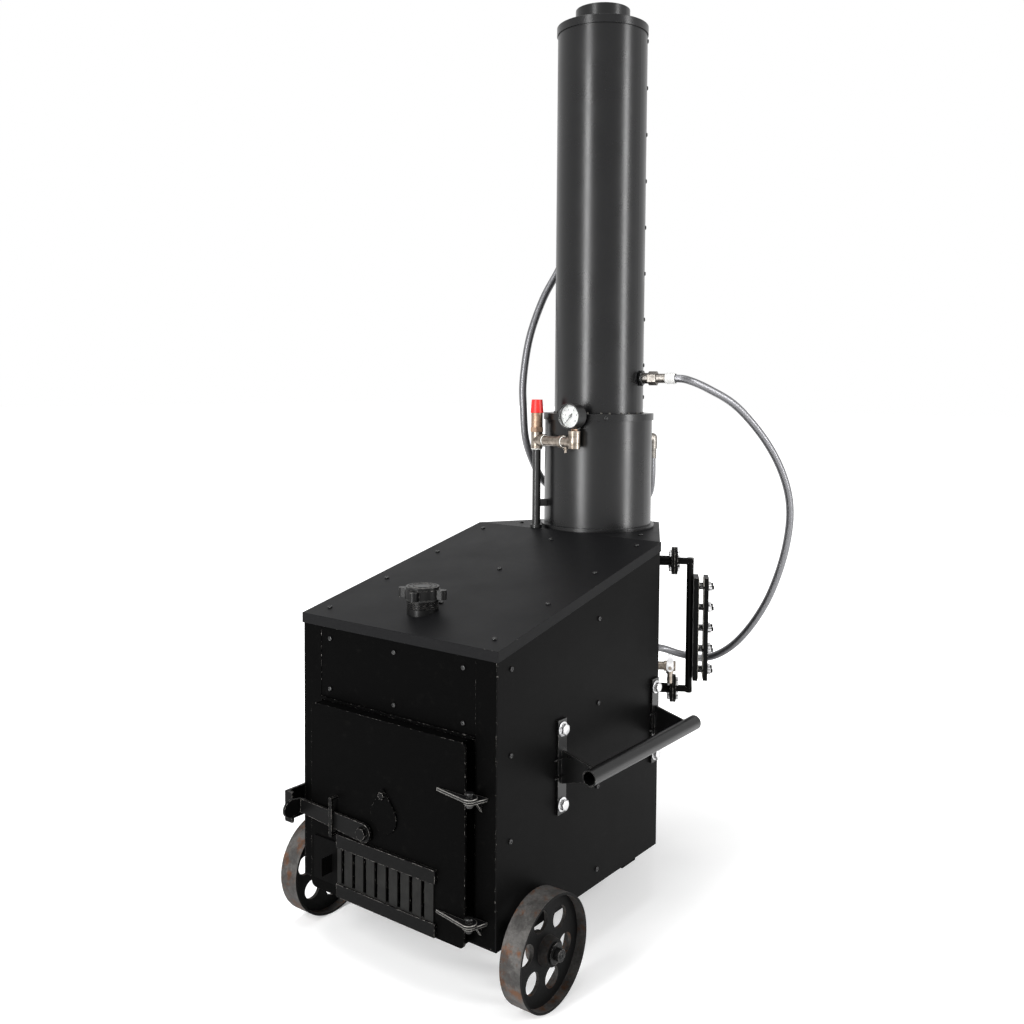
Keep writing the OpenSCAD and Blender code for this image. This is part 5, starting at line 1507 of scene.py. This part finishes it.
weld("jacket_foot_weld", ring_points(JACKET_FOOT, JACKET_R - FOOT_INSET, FOOT_STEPS),
     FOOT_BEAD, PAINT_SHELL, seed=2)
for side, label in ((1, "right"), (-1, "left")):
    for end, y in HANDLE_Y.items():
        for edge, z in HANDLE_Z.items():
            weld(f"{label}_handle_{end}_weld_{edge}",
                 [at(side * HANDLE_X, y + shift, z)
                  for shift in (-HANDLE_WELD_HALF, HANDLE_WELD_HALF)],
                 HANDLE_BEAD, PAINT_TUBE, seed=3 + z)
print("foot weld radius:", round(JACKET_R, 4), "m")

# %% [markdown]
# ## Wheels, axle and hinges
#
# Each wheel is held on its axle by a collar, and the axle's end is faced and centre
# drilled. Each hinge pin has a turned head with a rounded top. All are lathe work, so
# each is one outline and its place.

# %% Hub collars, axle ends and pin heads
AXLE = (103, -21)
COLLAR_X, AXLE_END_X = 338.6, 357
COLLAR = [(14, 0), (19, 0), (19, 1.4), (17.4, 2.4), (14, 2.4)]
AXLE_END = [(0, -0.4), (7.6, -0.4), (6.4, 0.8), (3.0, 0.8), (2.2, -0.2), (0, -0.2)]
PIN_HEAD = [(0, 0), (9.2, 0), (9.2, 2.2), (7.6, 3.6), (0, 3.9)]
PIN_XY = (230, -31)
PIN_TOPS = (68.8, 315.8)
PIN_SUNK = 2

for side, label in ((1, "right"), (-1, "left")):
    turned_ring(f"{label}_hub_collar", at(side * COLLAR_X, *AXLE), (side, 0, 0), COLLAR,
                IRON_DARK, f"wheel_{label}", 48)
    turned_ring(f"{label}_axle_end", at(side * AXLE_END_X, *AXLE), (side, 0, 0), AXLE_END,
                IRON_DARK, sides=32)
for z in PIN_TOPS:
    turned_ring(f"hinge_pin_head_{int(z)}", at(*PIN_XY, z - PIN_SUNK), (0, 0, 1), PIN_HEAD,
                SCREW_BLACK, sides=32)
print("pin heads:", len(PIN_TOPS))

# %% [markdown]
# ## Supply port
#
# A black lock nut holds the chimney's outlet, and a threaded stub carries the bright
# union of the hose. The thread is a zigzag outline turned about the port's direction:
# at this size its rings can't be told from a helix.

# %% Lock nut and thread
PORT_TURN = math.radians(10)
PORT_WAY = Vector((math.cos(PORT_TURN), math.sin(PORT_TURN), 0))
PORT_ROOT = Vector((0, CHIMNEY_Y, at(0, 0, 1119).z))
LOCK_NUT_OUT, THREAD_OUT = 115.5 * MM, 125 * MM
LOCK_NUT = [(12, 0), (20, 0), (20, 8), (18.6, 9.2), (12, 9.2)]
THREAD = [(12.3, 0)] + [(13.2 + 0.7 * (k % 2), 0.9 * k) for k in range(15)] + [(12.3, 13)]

turned_ring("supply_lock_nut", PORT_ROOT + PORT_WAY * LOCK_NUT_OUT, PORT_WAY, LOCK_NUT,
            SCREW_BLACK, sides=6)
turned_ring("supply_thread", PORT_ROOT + PORT_WAY * THREAD_OUT, PORT_WAY, THREAD, SCREW_BLACK,
            sides=32)
print("port direction:", [round(c, 3) for c in PORT_WAY])

# %% [markdown]
# ## Finishes of the CAD nodes
#
# The CAD meshes are kept as they came, and each one only gets its material in its first
# slot. One table says which finish goes where: a new look for all painted sheets is then
# a change in one line.

# %% Which finish goes where
FINISHES = {
    PAINT: ("left_side_panel", "right_side_panel", "rear_casing", "floor_panel"),
    PAINT_LID: ("lid", "rear_top_plate"),
    PAINT_SHELL: ("lower_jacket", "chimney_shell", "chimney_cap", "flue_pipe"),
    # Front and underside parts: black paint darkened as painted shade.
    PAINT_SHADED: ("base_frame", "front_upper_panel", "fire_door", "front_plate",
                 "peephole_cover", "rear_legs", "axle_brackets"),
    PAINT_FILLER: ("filler_neck", "filler_cap"),
    PAINT_WORN: ("door_bolts", "door_rails", "latch_lever", "latch_catch",
                 "level_gauge_pipes", "level_gauge_frame", "level_gauge_cover"),
    PAINT_LUGS: ("door_lugs", "post_lugs"),
    PAINT_TUBE: ("left_handle", "right_handle"),
    PAINT_SLATS: ("damper_slider",),
    IRON: ("left_wheel", "right_wheel"),
    STEEL: ("ash_pan", "preheater_vessel"),
    IRON_DARK: ("axle", "axle_washers"),
    ZINC: ("drain_lever",),
    UNION: ("hose_fittings",),
    NICKEL: ("header_fittings", "drain_valve_body"),
    SCREW_BLACK: ("hinge_pins", "casing_screws", "handle_bolts"),
    BRASS: ("safety_valve_body",),
    SOOT: ("firebox", "fire_grate", "door_baffle", "boiler_tank"),
    RED: ("safety_cap",),
    DIAL: ("gauge_dial",),
    CASE: ("gauge_case",),
    INK: ("gauge_needle",),
    RUBBER: ("filler_gasket",),
    SLEEVE: ("hose_sleeve",),
    GLASS: ("gauge_lens", "level_glass"),
    RISER: ("riser_pipe",),
}

# %% Giving the finishes
for material, names in FINISHES.items():
    for node_name in names:
        data = nodes[node_name].data
        if data.materials:
            data.materials[0] = material
        else:
            data.materials.append(material)
print("nodes with a finish:", sum(len(names) for names in FINISHES.values()))

# %% [markdown]
# ## World
#
# The picture has a white background. Turning the light up until the paper clips would
# wash out the machine. So white reaches only what the camera, mirrors and glass see, by
# the Light Path node, and the light that falls on things stays a plain grey.

# %% World


def seen_directly(tree):
    """1 for camera, glossy and transmission rays, 0 for the light that falls on things."""
    camera = add(tree, "ShaderNodeLightPath", out="Is Camera Ray")
    rays = camera.node.outputs
    either = add(tree, "ShaderNodeMath", {0: camera, 1: rays["Is Glossy Ray"]},
                 operation="MAXIMUM")
    return add(tree, "ShaderNodeMath", {0: either, 1: rays["Is Transmission Ray"]},
               operation="MAXIMUM")


def make_world():
    """White to the camera, and a plain grey light to the machine."""
    world = bpy.data.worlds.new("studio")
    world.use_nodes = True
    tree = world.node_tree
    tree.nodes.clear()
    colour = add(tree, "ShaderNodeMix", {"Factor": seen_directly(tree), "A": srgb("a8a8a8"),
                                         "B": srgb("ffffff")}, data_type="RGBA")
    shade = add(tree, "ShaderNodeBackground", {"Color": colour})
    add(tree, "ShaderNodeOutputWorld", {"Surface": shade})
    bpy.context.scene.world = world


make_world()
print("world:", bpy.context.scene.world.name)

# %% [markdown]
# ## Floor
#
# The machine stands on white paper. A plain white floor renders grey near the machine
# and would show a horizon. This one adds a glow that only the camera and mirrors see:
# weak near the machine, where the lit share keeps the shadow, and full farther away.

# %% Floor
FLOOR_REACH = 40.0
FLOOR_GLOW = 0.25
GLOW_FROM, GLOW_TO = 0.7, 1.7
FLOOR_DROP = 0.0005


def make_floor():
    """White paper: its own glow makes it white to the eye, and its lit share is shadowed."""
    mesh = bpy.data.meshes.new("studio_floor")
    mesh.from_pydata([(x * FLOOR_REACH, y * FLOOR_REACH, 0)
                      for x, y in ((-1, -1), (1, -1), (1, 1), (-1, 1))], [], [(0, 1, 2, 3)])
    material, tree = empty_material("studio_floor")
    place = add(tree, "ShaderNodeTexCoord", out="Object")
    away = add(tree, "ShaderNodeVectorMath", {0: place}, out="Value", operation="LENGTH")
    far = add(tree, "ShaderNodeMapRange", {"Value": away, "From Min": GLOW_FROM,
                                           "From Max": GLOW_TO},
              interpolation_type="SMOOTHSTEP")
    full = add(tree, "ShaderNodeMix", {"Factor": far, "A": FLOOR_GLOW, "B": 1.0},
               data_type="FLOAT")
    strength = add(tree, "ShaderNodeMath", {0: seen_directly(tree), 1: full},
                   operation="MULTIPLY")
    lit = add(tree, "ShaderNodeBsdfDiffuse", {"Color": srgb("f4f4f4")})
    glow = add(tree, "ShaderNodeEmission", {"Color": srgb("ffffff"), "Strength": strength})
    both = add(tree, "ShaderNodeAddShader", {0: lit, 1: glow})
    add(tree, "ShaderNodeOutputMaterial", {"Surface": both})
    floor = make_object("studio_floor", mesh, material, smooth=False)
    floor.location.z = -FLOOR_DROP


make_floor()
print("floor glow:", FLOOR_GLOW, "near the machine")

# %% [markdown]
# ## Lamps
#
# Glossy black paint shows its lamps more than its own colour. Two tall, narrow lamps
# draw the upright bands on the chimney, and one wide lamp from above greys the lid. A
# sun lamp would give a hard spot there. Their power is kept plain, so that a colour
# renders about as it is written.

# %% Lamps
CHIMNEY_AIM = (0, CHIMNEY_Y, 1.45)
LAMPS = (
    ("key_strip", (-0.1, -2.67, 1.6), CHIMNEY_AIM, 0.5, 3.0, 110),
    ("side_strip", (3.1, 0.7, 1.7), CHIMNEY_AIM, 0.55, 3.0, 100),
    ("top_lamp", (-0.3, -0.5, 4.2), (0, 0, 0.4), 2.2, 2.2, 80),
)


def soft_lamp(name, place, target, width, height, power):
    """A flat lamp at a place, turned toward a target."""
    data = bpy.data.lights.new(name, "AREA")
    data.shape = "RECTANGLE"
    data.size = width
    data.size_y = height
    data.energy = power
    lamp = bpy.data.objects.new(name, data)
    away = Vector(place) - Vector(target)
    turn = away.to_track_quat("Z", "Y").to_matrix().to_4x4()
    lamp.matrix_world = Matrix.Translation(place) @ turn
    bpy.context.scene.collection.objects.link(lamp)


for lamp_values in LAMPS:
    soft_lamp(*lamp_values)
print("lamps:", len(LAMPS))
